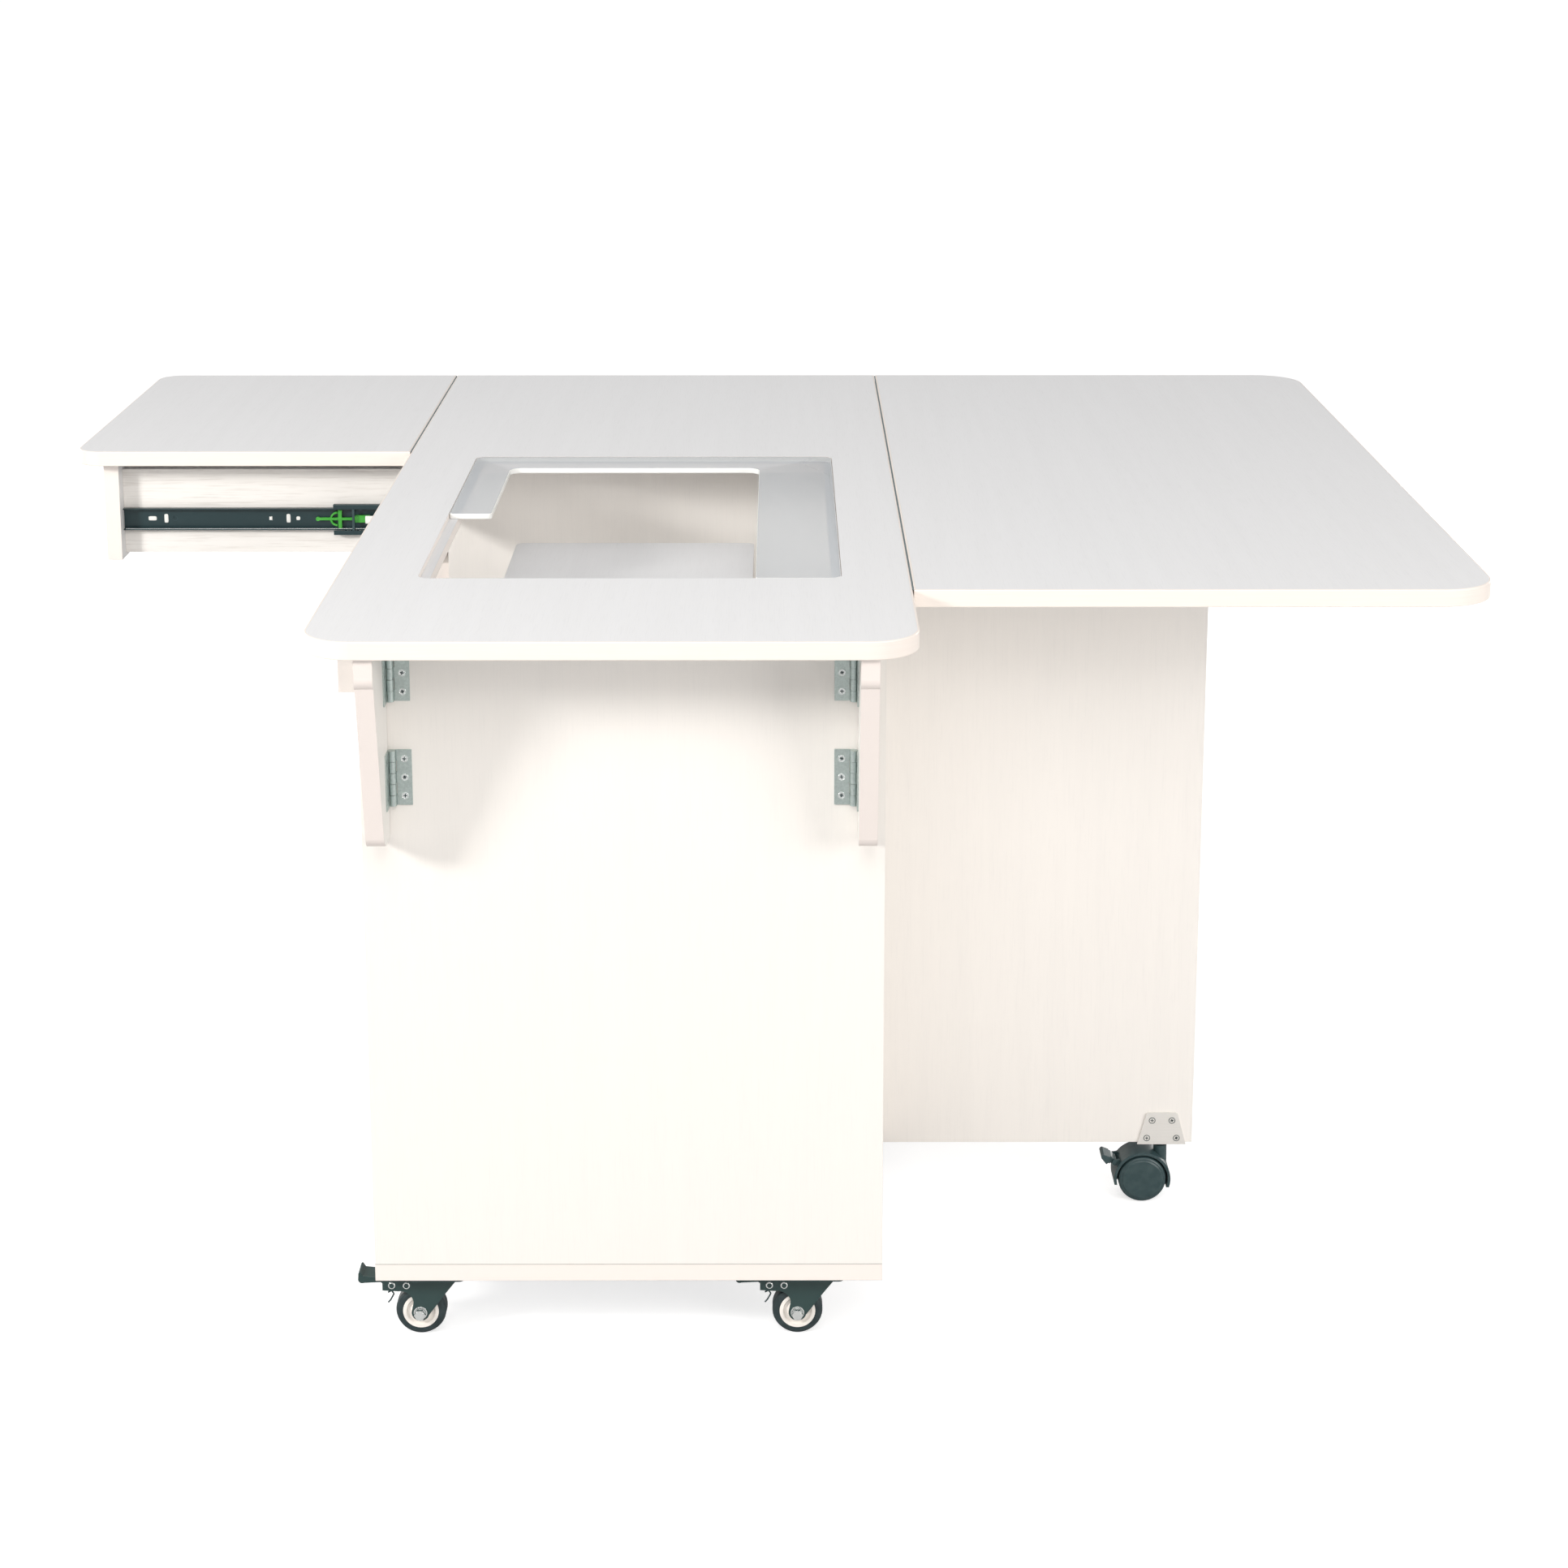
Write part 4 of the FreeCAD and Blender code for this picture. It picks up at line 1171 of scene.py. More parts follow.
class HexBolt(OnPoints):
    """A hexagon bolt head with a chamfered crown, on a round washer."""

    title = "Hexagon bolt heads"
    sizes = ("Corner Radius", "Head Height", "Washer Radius", "Washer Height")
    crown_share: ClassVar[float] = 0.82  # the crown's radius over the corner radius
    crown_rise: ClassVar[float] = 1.12  # the crown's height over the head's

    def one(self, tree: bpy.types.NodeTree, source: bpy.types.Node) -> bpy.types.NodeSocket:
        """Washer, hexagon and crown stacked up from the seat.

        Args:
            tree: The node tree that gets the nodes.
            source: The tree's input node, which holds the guide and the sizes.

        Returns:
            The hardware's geometry socket.
        """
        washer_height = source.outputs["Washer Height"]
        head_height = source.outputs["Head Height"]
        corner_radius = source.outputs["Corner Radius"]
        washer_middle = maths(tree, "MULTIPLY", washer_height, 0.5)
        head_half = maths(tree, "MULTIPLY", head_height, 0.5)
        head_middle = maths(tree, "ADD", head_half, washer_height)
        washer = add(
            tree,
            "GeometryNodeMeshCylinder",
            inputs={
                "Vertices": 32,
                "Radius": source.outputs["Washer Radius"],
                "Depth": washer_height,
            },
        )
        head = add(
            tree,
            "GeometryNodeMeshCylinder",
            inputs={
                "Vertices": 6,
                "Radius": corner_radius,
                "Depth": head_height,
            },
        )
        crown = add(
            tree,
            "GeometryNodeMeshCylinder",
            inputs={
                "Vertices": 32,
                "Radius": maths(tree, "MULTIPLY", corner_radius, self.crown_share),
                "Depth": maths(tree, "MULTIPLY", head_height, self.crown_rise),
            },
        )
        stack = add(tree, "GeometryNodeJoinGeometry")
        for part, middle in ((washer, washer_middle), (head, head_middle), (crown, head_middle)):
            lift = add(tree, "ShaderNodeCombineXYZ", inputs={"Z": middle})
            raised = add(
                tree,
                "GeometryNodeTransform",
                inputs={"Geometry": part.outputs[0], "Translation": lift.outputs[0]},
            )
            tree.links.new(raised.outputs[0], stack.inputs[0])
        return stack.outputs[0]


class BallRace(Recipe):
    """Steel balls spaced along the guide's lines."""

    title = "Ball races"
    sizes = ("Ball Radius", "Pitch")

    def hardware(
        self, tree: bpy.types.NodeTree, source: bpy.types.Node
    ) -> bpy.types.NodeSocket:
        """Lines to curves, cut at the pitch, with a ball at every cut.

        Args:
            tree: The node tree that gets the nodes.
            source: The tree's input node, which holds the guide and the sizes.

        Returns:
            The hardware's geometry socket.
        """
        line = add(
            tree, "GeometryNodeMeshToCurve", inputs={"Mesh": source.outputs["Guide"]}
        )
        steps = add(
            tree,
            "GeometryNodeResampleCurve",
            {"mode": "LENGTH"},
            {"Curve": line.outputs[0], "Length": source.outputs["Pitch"]},
        )
        ball = add(
            tree,
            "GeometryNodeMeshIcoSphere",
            inputs={"Radius": source.outputs["Ball Radius"], "Subdivisions": 3},
        )
        placed = add(
            tree,
            "GeometryNodeInstanceOnPoints",
            inputs={"Points": steps.outputs[0], "Instance": ball.outputs[0]},
        )
        return placed.outputs[0]


class BentWire(Recipe):
    """Round wire or bar that follows the guide's lines, with rounded bends."""

    title = "Bent wire"
    sizes = ("Wire Radius", "Bend Radius")

    def hardware(
        self, tree: bpy.types.NodeTree, source: bpy.types.Node
    ) -> bpy.types.NodeSocket:
        """Lines to curves, their corners rounded, swept with a round section.

        Args:
            tree: The node tree that gets the nodes.
            source: The tree's input node, which holds the guide and the sizes.

        Returns:
            The hardware's geometry socket.
        """
        line = add(
            tree, "GeometryNodeMeshToCurve", inputs={"Mesh": source.outputs["Guide"]}
        )
        bent = add(
            tree,
            "GeometryNodeFilletCurve",
            {"mode": "POLY"},
            {
                "Curve": line.outputs[0],
                "Count": 6,
                "Radius": source.outputs["Bend Radius"],
                "Limit Radius": True,
            },
        )
        section = add(
            tree,
            "GeometryNodeCurvePrimitiveCircle",
            {"mode": "RADIUS"},
            {"Resolution": 12, "Radius": source.outputs["Wire Radius"]},
        )
        swept = add(
            tree,
            "GeometryNodeCurveToMesh",
            inputs={
                "Curve": bent.outputs[0],
                "Profile Curve": section.outputs[0],
                "Fill Caps": True,
            },
        )
        return swept.outputs[0]


def chains(*runs: Sequence[Point]) -> tuple[list[Point], list[tuple[int, int]]]:
    """Joins several runs of points into one guide of points and edges.

    Args:
        *runs: The points of each run, in order.

    Returns:
        All points, and the edges that join each run's own points.
    """
    points: list[Point] = []
    edges: list[tuple[int, int]] = []
    for run in runs:
        first = len(points)
        points += list(run)
        edges += [(first + i, first + i + 1) for i in range(len(run) - 1)]
    return points, edges


@dataclass(frozen=True)
class CrossHeads:
    """The rolled rims and the crosses of countersunk screw heads that face +X; each cross is a slim
    dark wire on the head, painted shade for the pressed recess.
    """

    faces: tuple[Vector, ...]  # the middle of each head's face
    body: str
    piece: str
    rim: Finish
    rim_radius: float = 3.3 * MM
    rim_roll: float = 0.42 * MM
    rim_sunk: float = 0.15 * MM
    cross_reach: float = 1.9 * MM
    cross_radius: float = 0.36 * MM
    cross_sunk: float = 0.1 * MM
    turn_step: float = 0.7  # radians from one screw to the next, as hand-driven screws end up

    def build(self) -> list[str]:
        """Puts a rim and a cross on each head.

        Returns:
            The pieces' names, for the log.
        """
        seats = [(f.x - self.rim_sunk, f.y, f.z) for f in self.faces]
        rims = RolledRivet().make(
            f"{self.piece}_rims",
            self.body,
            "zinc_screw",
            self.rim,
            seats,
            {"Rim Radius": self.rim_radius, "Roll Radius": self.rim_roll},
        )
        runs = []
        for number, face in enumerate(self.faces):
            turn = self.turn_step * number
            for spin in (turn, turn + math.pi / 2):
                dy, dz = self.cross_reach * math.cos(spin), self.cross_reach * math.sin(spin)
                x = face.x - self.cross_sunk
                runs.append([(x, face.y - dy, face.z - dz), (x, face.y + dy, face.z + dz)])
        points, edges = chains(*runs)
        # Painted shade: the crosses are dark wires standing in for the shaded cross recesses.
        crosses = BentWire().make(
            f"{self.piece}_crosses",
            self.body,
            "zinc_screw",
            DARK_STEEL_AND_RECESS_SHADE,
            points,
            {"Wire Radius": self.cross_radius, "Bend Radius": 0.0},
            edges,
        )
        return [rims, crosses]


# ---- Sub-assemblies ----


@dataclass
class Worktop:
    """The worktop with its cut-out, its edge band, the barrels let into it and the insert plate."""

    chip_in: float = 26.0 * MM  # how far the chipped spot is along the front edge
    chip_depth: tuple[float, float] = (0.5 * MM, 0.4 * MM)  # in from the edge, down from the top
    polish: float = 0.7 * MM  # width of the insert's polished bevel

    def band(self) -> EdgeBand:
        """The worktop's own band, with its chipped spot.

        Returns:
            The band's finish.
        """
        low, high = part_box("worktop_edging")
        inward, down = self.chip_depth
        spot = (high.x - inward, low.y + self.chip_in, high.z - down)
        return EdgeBand("extruded PVC edge band, worktop", chip=spot)

    def dress(self) -> list[str]:
        """Paints the CAD nodes and puts a bevelled plate in the cut-out's rabbet.

        Returns:
            The names of the pieces, for the log.
        """
        names = paint(BOARD_FLAT, "worktop")
        names += paint(self.band(), "worktop_edging")
        names += paint(ZINC_HINGE, "worktop_hinge_barrels")
        plate = settle(
            softened_copy("acrylic_insert", self.polish),
            "clear_insert_plate",
            "acrylic_insert",
            ACRYLIC,
        )
        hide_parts("acrylic_insert")
        return names + [plate.name]


@dataclass
class Leaves:
    """The front and back leaves with their edge bands and hinge barrels."""

    def dress(self) -> list[str]:
        """Paints both leaves.

        Returns:
            The names of the pieces, for the log.
        """
        names = []
        for leaf in ("front_leaf", "back_leaf"):
            names += paint(BOARD_FLAT, leaf)
            names += paint(BAND, f"{leaf}_edging")
            names += paint(ZINC_HINGE, f"{leaf}_hinge_barrels")
        return names


@dataclass
class Carcass:
    """The cabinet's boards, its fixed hinge leaves and screws, and the shelf's pins."""

    pin_radius: float = 2.5 * MM
    pin_out: float = 9.0 * MM
    pin_in: float = 6.0 * MM
    pin_inset: float = 45.0 * MM
    joint_shade_radius: float = 0.4 * MM
    shade_strip_radius: float = 0.6 * MM
    shade_strip_drop: float = 0.9 * MM
    shade_strip_inset: float = 4.0 * MM
    widest_head: float = 9.0 * MM

    def shelf_pins(self) -> str:
        """Four steel pins under the pedestal shelf's ends.

        Returns:
            The piece's name, for the log.
        """
        low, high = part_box("pedestal_shelf")
        z = low.z - self.pin_radius
        runs = []
        for x, way in ((low.x, 1), (high.x, -1)):
            for y in (low.y + self.pin_inset, high.y - self.pin_inset):
                runs.append([(x - way * self.pin_in, y, z), (x + way * self.pin_out, y, z)])
        points, edges = chains(*runs)
        return BentWire().make(
            "pedestal_shelf_pins",
            "cabinet",
            "zinc_screw",
            ZINC_SCREW,
            points,
            {"Wire Radius": self.pin_radius, "Bend Radius": 0.0},
            edges,
        )

    def joint_shade_lines(self) -> str:
        """A grey hairline of painted shade where each end panel stands on the base board.

        Returns:
            The piece's name, for the log.
        """
        low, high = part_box("base_board")
        z = high.z
        runs = []
        for panel, outer in (("right_side_panel", 1), ("left_side_panel", 0)):
            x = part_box(panel)[outer].x
            runs.append([(x, low.y, z), (x, high.y, z)])
        points, edges = chains(*runs)
        return BentWire().make(
            "base_board_joint_shades",
            "cabinet",
            "melamine_board",
            JOINT_SHADE,
            points,
            {"Wire Radius": self.joint_shade_radius, "Bend Radius": 0.0},
            edges,
        )

    def seam_shade_strips(self) -> str:
        """A dark grey strip low in the seam between the worktop and each leaf, as painted shade of
        the gap.

        Returns:
            The piece's name, for the log.
        """
        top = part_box("worktop")
        runs = []
        for leaf, near, edge in (("front_leaf", 1, 0), ("back_leaf", 0, 1)):
            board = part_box(f"{leaf}_edging")
            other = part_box("worktop_edging")
            y = (board[near].y + other[edge].y) / 2
            z = top[1].z - self.shade_strip_drop
            start, end = board[0].x + self.shade_strip_inset, board[1].x - self.shade_strip_inset
            runs.append([(start, y, z), (end, y, z)])
        points, edges = chains(*runs)
        return BentWire().make(
            "leaf_seam_shade_strips",
            "cabinet",
            "edge_band",
            SEAM_SHADE,
            points,
            {"Wire Radius": self.shade_strip_radius, "Bend Radius": 0.0},
            edges,
        )

    def dress(self) -> list[str]:
        """Paints the boards and hardware and adds the shelf pins and the lines of painted shade in
        the base joints and leaf seams.

        Returns:
            The names of the pieces, for the log.
        """
        names = paint(BOARD_SIDE_PAINTED_LIGHTER, "right_side_panel", "left_side_panel", "pedestal_divider")
        names += paint(BOARD_FLAT, "base_board", "pedestal_shelf")
        names += paint(BOARD_BACK_PAINTED_LIGHTER, "back_panel", "front_apron")
        names += paint(ZINC_HINGE, "hinge_fixed_leaves")
        names += paint(ZINC_SCREW, "cabinet_screws")
        names += paint(FORK_STEEL, "caster_top_plates")
        faces = screw_faces("cabinet_screws", self.widest_head)
        heads = CrossHeads(faces, "cabinet", "hinge_screw", ZINC_SCREW).build()
        return names + [self.shelf_pins(), self.joint_shade_lines(), self.seam_shade_strips()] + heads


@dataclass
class Brackets:
    """The two folding end brackets with their moving hinge leaves."""

    def dress(self) -> list[str]:
        """Paints both brackets.

        Returns:
            The names of the pieces, for the log.
        """
        names = []
        for bracket in ("front_bracket", "rear_bracket"):
            names += paint(BOARD_BRACKET, bracket)
            names += paint(ZINC_HINGE, f"{bracket}_hinge_leaves")
        return names


@dataclass
class Pedestal:
    """The drawer, its ball slides and catches, and the door below."""

    ball_radius: float = 1.7 * MM
    ball_pitch: float = 7.5 * MM
    cage_length: float = 120.0 * MM
    cage_start: float = 14.0 * MM
    race_out: float = 4.4 * MM  # from the drawer's wall to the middle of a ball
    flange_in: float = 15.6 * MM  # height of a ball race from the slide's middle line
    track_radius: float = 0.55 * MM
    track_out: float = 7.2 * MM
    track_rise: float = 1.7 * MM
    track_inset: float = 3.0 * MM
    slot_depth: tuple[float, float] = (0.1 * MM, 1.25 * MM)  # out from the drawer's wall
    slot_round: float = 0.5 * MM
    stop_depth: tuple[float, float] = (8.6 * MM, 10.4 * MM)
    stop_flanges: tuple[tuple[float, float], ...] = (  # heights from the slide's middle line
        (-17.4 * MM, -13.8 * MM),
        (13.8 * MM, 17.4 * MM),
    )
    stop_web: Point = (3.0 * MM, 15.0 * MM, 1.0 * MM)  # thickness, half height, set-back
    stop_round: float = 0.4 * MM
    nub_along: tuple[float, float] = (13.0 * MM, 27.0 * MM)  # behind the stop
    nub_half: float = 5.0 * MM
    nub_proud: float = 0.3 * MM
    nub_round: float = 1.2 * MM
    nose_length: float = 26.0 * MM
    slot_sizes: tuple[Point, ...] = (  # place from the front end, half length and half height
        (35.0 * MM, 5.1 * MM, 2.7 * MM),
        (52.0 * MM, 2.5 * MM, 5.5 * MM),
        (181.0 * MM, 2.0 * MM, 2.5 * MM),
        (203.0 * MM, 2.5 * MM, 5.5 * MM),
        (215.0 * MM, 2.4 * MM, 2.4 * MM),
    )

    def slide_sides(self) -> list[tuple[float, float]]:
        """Each drawer wall's outer face, and the way its slide stands out.

        Returns:
            The face's X and its sign, for each side.
        """
        low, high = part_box("drawer_box")
        return [(low.x, -1.0), (high.x, 1.0)]

    def balls(self) -> str:
        """Balls between the middle members' flanges and the drawer's members.

        Returns:
            The piece's name, for the log.
        """
        low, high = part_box("middle_slide_members")
        middle = (low.z + high.z) / 2
        runs = []
        for wall, way in self.slide_sides():
            x = wall + way * self.race_out
            for side in (-1, 1):
                z = middle + side * self.flange_in
                start = low.y + self.cage_start
                runs.append([(x, start, z), (x, start + self.cage_length, z)])
        points, edges = chains(*runs)
        return BallRace().make(
            "middle_slide_balls",
            "middle_slides",
            "black_slide_steel",
            BRIGHT_STEEL,
            points,
            {"Ball Radius": self.ball_radius, "Pitch": self.ball_pitch},
            edges,
        )

    def tracks(self) -> str:
        """A thin bright steel line along each drawer member's lower flange.

        Returns:
            The piece's name, for the log.
        """
        low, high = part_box("drawer_slide_members")
        runs = []
        for wall, way in self.slide_sides():
            x = wall + way * self.track_out
            z = low.z + self.track_rise
            runs.append([(x, low.y + self.track_inset, z), (x, high.y - self.track_inset, z)])
        points, edges = chains(*runs)
        return BentWire().make(
            "drawer_slide_tracks",
            "drawer",
            "black_slide_steel",
            BRIGHT_STEEL,
            points,
            {"Wire Radius": self.track_radius, "Bend Radius": 0.0},
            edges,
        )

    def slot_light_fills(self) -> str:
        """White blocks that fill the slide members' slots out from the drawer's wall, painted light
        so the slots read lit white instead of shaded.

        Returns:
            The piece's name, for the log.
        """
        low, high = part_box("drawer_slide_members")
        middle = (low.z + high.z) / 2
        parts = []
        for wall, way in self.slide_sides():
            x = sorted(wall + way * out for out in self.slot_depth)
            for along, half_y, half_z in self.slot_sizes:
                y = low.y + along
                parts.append(
                    (
                        (x[0], y - half_y, middle - half_z),
                        (x[1], y + half_y, middle + half_z),
                    )
                )
        # Painted light: white fills where the slots' recessed wall would be in shade.
        settle(
            blocks(parts, self.slot_round),
            "drawer_slide_slot_light_fills",
            "drawer",
            WHITE_PLASTIC,
        )
        return "drawer_slide_slot_light_fills"

    def noses(self) -> list[str]:
        """Moulded end stops in the middle members' front ends, with a white nub each.

        Returns:
            The pieces' names, for the log.
        """
        low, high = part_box("middle_slide_members")
        middle = (low.z + high.z) / 2
        shells, nubs = [], []
        for wall, way in self.slide_sides():
            x = sorted(wall + way * out for out in self.stop_depth)
            thick, half, set_back = self.stop_web
            y = (low.y + set_back, low.y + self.nose_length)
            for bottom, top in self.stop_flanges:
                shells.append(((x[0], y[0], middle + bottom), (x[1], y[1], middle + top)))
            shells.append(((x[0], y[1] - thick, middle - half), (x[1], y[1], middle + half)))
            near, far = (y[1] + along for along in self.nub_along)
            nubs.append(
                (
                    (x[0], near, middle - self.nub_half),
                    (x[1] + self.nub_proud, far, middle + self.nub_half),
                )
            )
        body = "middle_slides"
        settle(
            blocks(shells, self.stop_round), "middle_slide_stops", body, BLACK_NYLON
        )
        nub = blocks(nubs, self.nub_round)
        settle(nub, "middle_slide_nubs", body, WHITE_PLASTIC)
        return ["middle_slide_stops", "middle_slide_nubs"]

    def dress(self) -> list[str]:
        """Paints the drawer, slides and door and adds the slides' fine parts.

        Returns:
            The names of the pieces, for the log.
        """
        names = paint(BOARD_FRONT, "drawer_front", "pedestal_door")
        names += paint(BOARD_DRAWER, "drawer_box")
        names += paint(
            SLIDE_STEEL, "cabinet_slide_members", "middle_slide_members", "drawer_slide_members"
        )
        names += paint(GREEN_PLASTIC, "left_release_lever", "right_release_lever")
        names += paint(ZINC_HINGE, "pedestal_door_hinge_leaves")
        return names + [self.balls(), self.tracks(), self.slot_light_fills()] + self.noses()


@dataclass
class GateLeg:
    """The gate leg, its hinges, and the hooded twin-wheel caster on its bracket."""

    plate_screws: tuple[tuple[float, float], ...] = (  # beside the plate's middle, above its foot
        (16.5 * MM, 7.5 * MM),
        (11.0 * MM, 28.4 * MM),
    )

    def plate_heads(self) -> list[str]:
        """The rims and crosses of the plate's four screws, both dark as painted shade of the heads'
        outlines and recesses.

        Returns:
            The pieces' names, for the log.
        """
        low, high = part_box("leg_caster_bracket")
        middle = (low.y + high.y) / 2
        faces = tuple(
            Vector((high.x, middle + side * beside, low.z + up))
            for beside, up in self.plate_screws
            for side in (-1, 1)
        )
        # The rims take the dark finish as painted shade round each head.
        return CrossHeads(faces, "gate_leg", "leg_plate_screw", DARK_STEEL_AND_RECESS_SHADE).build()

    def dress(self) -> list[str]:
        """Paints the leg and its caster.

        Returns:
            The names of the pieces, for the log.
        """
        names = paint(BOARD_LEG_PAINTED_LIGHTER, "gate_leg_panel")
        names += paint(ZINC_HINGE, "gate_leg_hinge_leaves")
        names += paint(SATIN_PLATE, "leg_caster_bracket")
        names += self.plate_heads()
        names += paint(
            BLACK_NYLON,
            "leg_caster_hood",
            "leg_caster_right_wheel",
            "leg_caster_left_wheel",
            "leg_caster_brake_lever",
        )
        return names


@dataclass
class Lift:
    """The machine's lift: platform, carriage, rails and release handle."""

    def dress(self) -> list[str]:
        """Paints the lift.

        Returns:
            The names of the pieces, for the log.
        """
        names = paint(BOARD_FLAT, "lift_platform")
        names += paint(LIFT_STEEL, "lift_carriage", "lift_guide_rails", "lift_handle")
        return names


@dataclass
class BaseCaster:
    """A braked caster: stamped fork, tyre, wheel centre, pedal, bolt, rivets and brake spring."""

    corner: str
    corner_radius: float = 5.95 * MM
    rivet_radius: float = 2.9 * MM
    rivet_roll: float = 1.0 * MM
    rivet_back: tuple[float, float] = (28.5 * MM, 13.6 * MM)  # towards the operator from the axle
    rivet_height: float = 55.5 * MM
    fork_half: float = 13.5 * MM
    seat_sunk: float = 0.1 * MM
    washer_radius: float = 6.9 * MM
    washer_height: float = 0.9 * MM
    head_proud: float = 0.25 * MM  # how far the head covers the axle's own end
    spring_wire: float = 0.8 * MM
    spring_bend: float = 1.5 * MM
    spring_aside: float = 8.5 * MM
    spring_run: tuple[tuple[float, float], ...] = (  # along Y from the axle, and the height
        (-24.0 * MM, 51.0 * MM),
        (-29.5 * MM, 47.5 * MM),
        (-27.0 * MM, 44.0 * MM),
        (-30.5 * MM, 37.5 * MM),
        (-33.0 * MM, 34.5 * MM),
    )
    spring_branch: tuple[tuple[float, float], ...] = (
        (-29.5 * MM, 47.5 * MM),
        (-33.0 * MM, 45.5 * MM),
    )
    sides: tuple[tuple[float, float], ...] = field(default=((1.0, 0.0), (-1.0, math.pi)))

    def axle(self) -> Vector:
        """The middle of the wheel.

        Returns:
            The wheel's middle, in metres.
        """
        low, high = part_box(f"{self.corner}_caster_tyre")
        return (low + high) / 2

    def bolts(self) -> str:
        """The axle's bolt head and nut on their washers.

        Returns:
            The piece's name, for the log.
        """
        at = self.axle()
        _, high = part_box(f"{self.corner}_caster_fork")
        seat = self.fork_half - self.seat_sunk
        height = high.x - at.x - seat - self.washer_height + self.head_proud
        points = [(at.x + way * seat, at.y, at.z) for way, _ in self.sides]
        return HexBolt().make(
            f"{self.corner}_caster_bolts",
            f"{self.corner}_caster",
            "zinc_screw",
            BRIGHT_STEEL,
            points,
            {
                "Corner Radius": self.corner_radius,
                "Head Height": height,
                "Washer Radius": self.washer_radius,
                "Washer Height": self.washer_height,
            },
            turned=[turn for _, turn in self.sides],
        )

    def rivets(self) -> str:
        """The rolled rims of the four tubular rivets in the fork's sides.

        Returns:
            The piece's name, for the log.
        """
        at = self.axle()
        points, turned = [], []
        for way, turn in self.sides:
            for back in self.rivet_back:
                points.append((at.x + way * self.fork_half, at.y - back, self.rivet_height))
                turned.append(turn)
        return RolledRivet().make(
            f"{self.corner}_caster_rivets",
            f"{self.corner}_caster",
            "zinc_screw",
            BRIGHT_STEEL,
            points,
            {"Rim Radius": self.rivet_radius, "Roll Radius": self.rivet_roll},
            turned=turned,
        )

    def spring(self) -> str:
        """The bent end of the brake's spring, which hangs in front of the wheel.

        Returns:
            The piece's name, for the log.
        """
        at = self.axle()
        x = at.x + self.spring_aside
        shapes = (self.spring_run, self.spring_branch)
        points, edges = chains(*[[(x, at.y + y, z) for y, z in shape] for shape in shapes])
        return BentWire().make(
            f"{self.corner}_caster_brake_spring",
            f"{self.corner}_caster",
            "black_fork_steel",
            DARK_STEEL_AND_RECESS_SHADE,
            points,
            {"Wire Radius": self.spring_wire, "Bend Radius": self.spring_bend},
            edges,
        )

    def dress(self) -> list[str]:
        """Paints the caster and adds its bolt, rivets and spring.

        Returns:
            The names of the pieces, for the log.
        """
        name = f"{self.corner}_caster"
        names = paint(FORK_STEEL, f"{name}_fork", f"{name}_pedal")
        names += paint(BLACK_TYRE, f"{name}_tyre")
        names += paint(CREAM_NYLON, f"{name}_hub")
        return names + [self.bolts(), self.rivets(), self.spring()]


# ---- Studio ----


@dataclass(frozen=True)
class SoftBox:
    """A square studio light that faces the table."""

    name: str
    place: Point
    side: float
    power: float
    colour: str = "#FFFFFF"
    aim: Point = (0.1, 0.0, 0.45)

    def build(self) -> None:
        """Adds the light to the scene."""
        lamp = bpy.data.lights.new(self.name, "AREA")
        lamp.shape = "SQUARE"
        lamp.size = self.side
        lamp.energy = self.power
        lamp.color = linear(self.colour)[:3]
        obj = bpy.data.objects.new(self.name, lamp)
        obj.location = self.place
        away = Vector(self.place) - Vector(self.aim)
        obj.rotation_euler = away.to_track_quat("Z", "Y").to_euler()
        obj.visible_camera = False
        bpy.context.scene.collection.objects.link(obj)


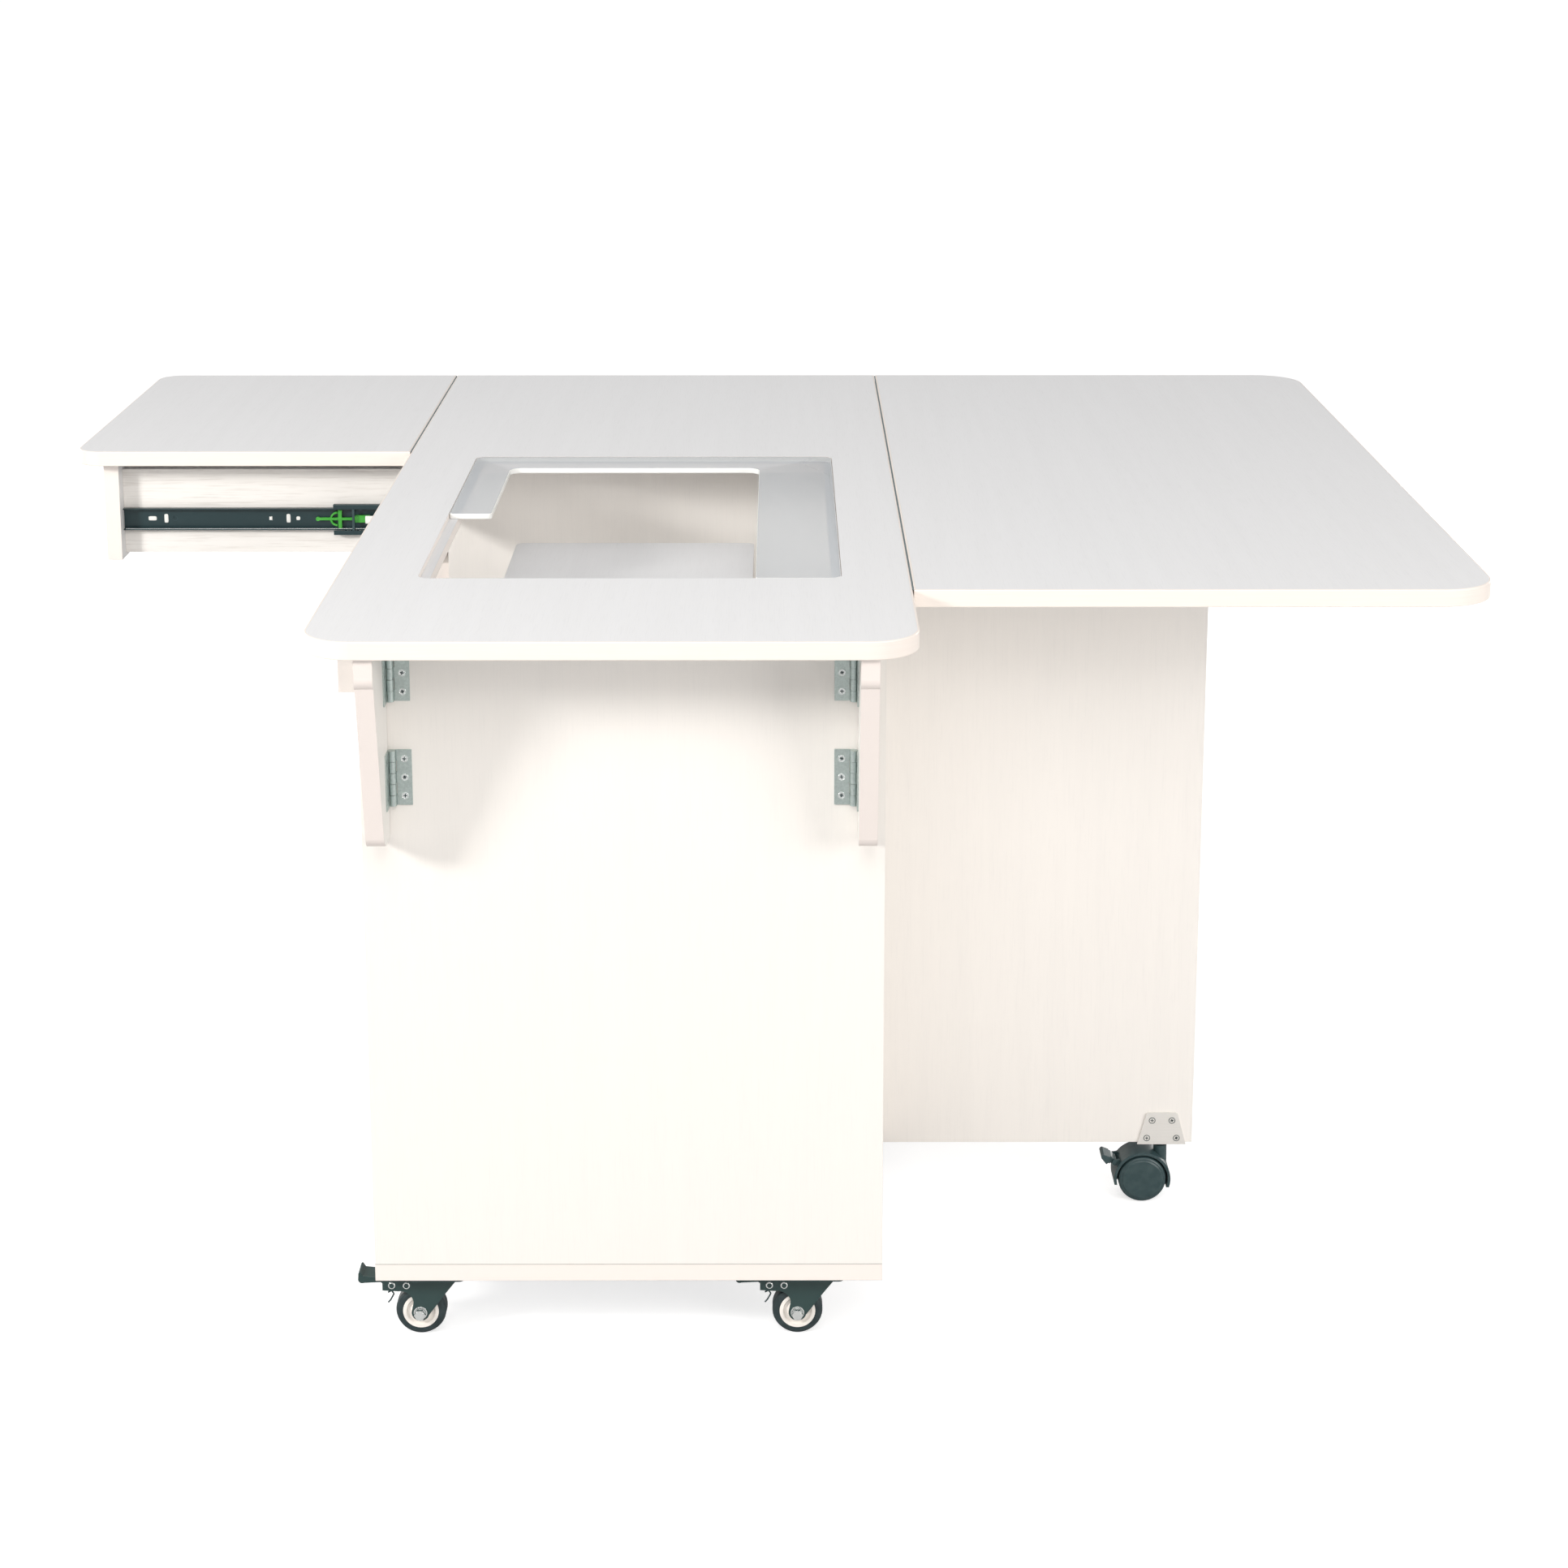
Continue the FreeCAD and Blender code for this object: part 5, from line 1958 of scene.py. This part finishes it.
@dataclass
class Studio:
    """A white paper floor, soft light and the camera."""

    floor_half: float = 40.0
    sky_low: float = 0.15  # brightness at the horizon
    sky_high: float = 0.9  # brightness overhead
    camera_place: Point = (3.2895, 0.0691, 1.4834)
    pitch: float = math.radians(11.93)
    yaw: float = math.radians(0.11)
    lens: float = 66.64
    shift: float = -0.207
    boxes: tuple[SoftBox, ...] = (
        SoftBox("left_box", (2.25, -3.2, 2.1), 0.65, 98.0, "#FFFDFA"),
        SoftBox("front_box", (3.3, -0.2, 3.2), 1.8, 36.0, "#FFFCF8"),
        SoftBox("right_box", (2.75, 3.1, 1.6), 1.8, 68.0, "#FFFBF7"),
        SoftBox("back_box", (-2.9, 2.7, 0.7), 1.3, 52.0, "#FFFCF9"),
        SoftBox("operator_box", (-2.7, -3.1, 0.7), 1.3, 44.0, "#FFFCF9"),
    )

    def floor(self) -> None:
        """One sheet of white paper."""
        shape = bmesh.new()
        bmesh.ops.create_grid(shape, x_segments=4, y_segments=4, size=self.floor_half)
        mesh = bpy.data.meshes.new("studio_floor")
        shape.to_mesh(mesh)
        shape.free()
        mesh.materials.append(StudioPaper("white studio paper").material())
        sheet = bpy.data.objects.new("studio_floor", mesh)
        bpy.context.scene.collection.objects.link(sheet)

    def light(self) -> None:
        """A pale surround, brighter overhead and seen as plain white, and the soft boxes."""
        world = bpy.data.worlds.new("studio")
        world.use_nodes = True
        tree = world.node_tree
        tree.nodes.clear()
        way = add(tree, "ShaderNodeTexCoord").outputs["Generated"]
        height = add(tree, "ShaderNodeSeparateXYZ", inputs={0: way}).outputs["Z"]
        dome = add(
            tree,
            "ShaderNodeMapRange",
            inputs={"Value": height, "To Min": self.sky_low, "To Max": self.sky_high},
        )
        light = add(tree, "ShaderNodeBackground", inputs={"Strength": dome.outputs[0]})
        white = add(tree, "ShaderNodeBackground", inputs={"Strength": 1.0})
        for surround in (light, white):
            surround.inputs["Color"].default_value = linear("#FFFFFF")
        seen = add(tree, "ShaderNodeLightPath").outputs["Is Camera Ray"]
        both = add(
            tree,
            "ShaderNodeMixShader",
            inputs={0: seen, 1: light.outputs[0], 2: white.outputs[0]},
        )
        add(tree, "ShaderNodeOutputWorld", inputs={"Surface": both.outputs[0]})
        bpy.context.scene.world = world
        for box in self.boxes:
            box.build()

    def camera(self) -> None:
        """The camera at the worktop's narrow end, above it and looking slightly down."""
        lens = bpy.data.cameras.new("camera")
        lens.sensor_width = 36.0
        lens.lens = self.lens
        lens.shift_y = self.shift
        view = bpy.data.objects.new("camera", lens)
        view.location = self.camera_place
        ahead = Vector(
            (
                -math.cos(self.pitch) * math.cos(self.yaw),
                math.cos(self.pitch) * math.sin(self.yaw),
                -math.sin(self.pitch),
            )
        )
        view.rotation_euler = ahead.to_track_quat("-Z", "Y").to_euler()
        bpy.context.scene.collection.objects.link(view)
        bpy.context.scene.camera = view

    def build(self) -> None:
        """Sets the studio up."""
        bpy.context.scene.view_settings.view_transform = "Standard"
        self.floor()
        self.light()
        self.camera()


def main() -> None:
    """Builds every sub-assembly, then the studio."""
    corners = ("front_right", "front_left", "rear_right", "rear_left")
    sub_assemblies = [
        Worktop(),
        Leaves(),
        Carcass(),
        Brackets(),
        Pedestal(),
        GateLeg(),
        Lift(),
        *[BaseCaster(corner) for corner in corners],
    ]
    for part in sub_assemblies:
        for name in part.dress():
            log.info("%s: %s", type(part).__name__, name)
    Studio().build()


if __name__ == "__main__":
    main()
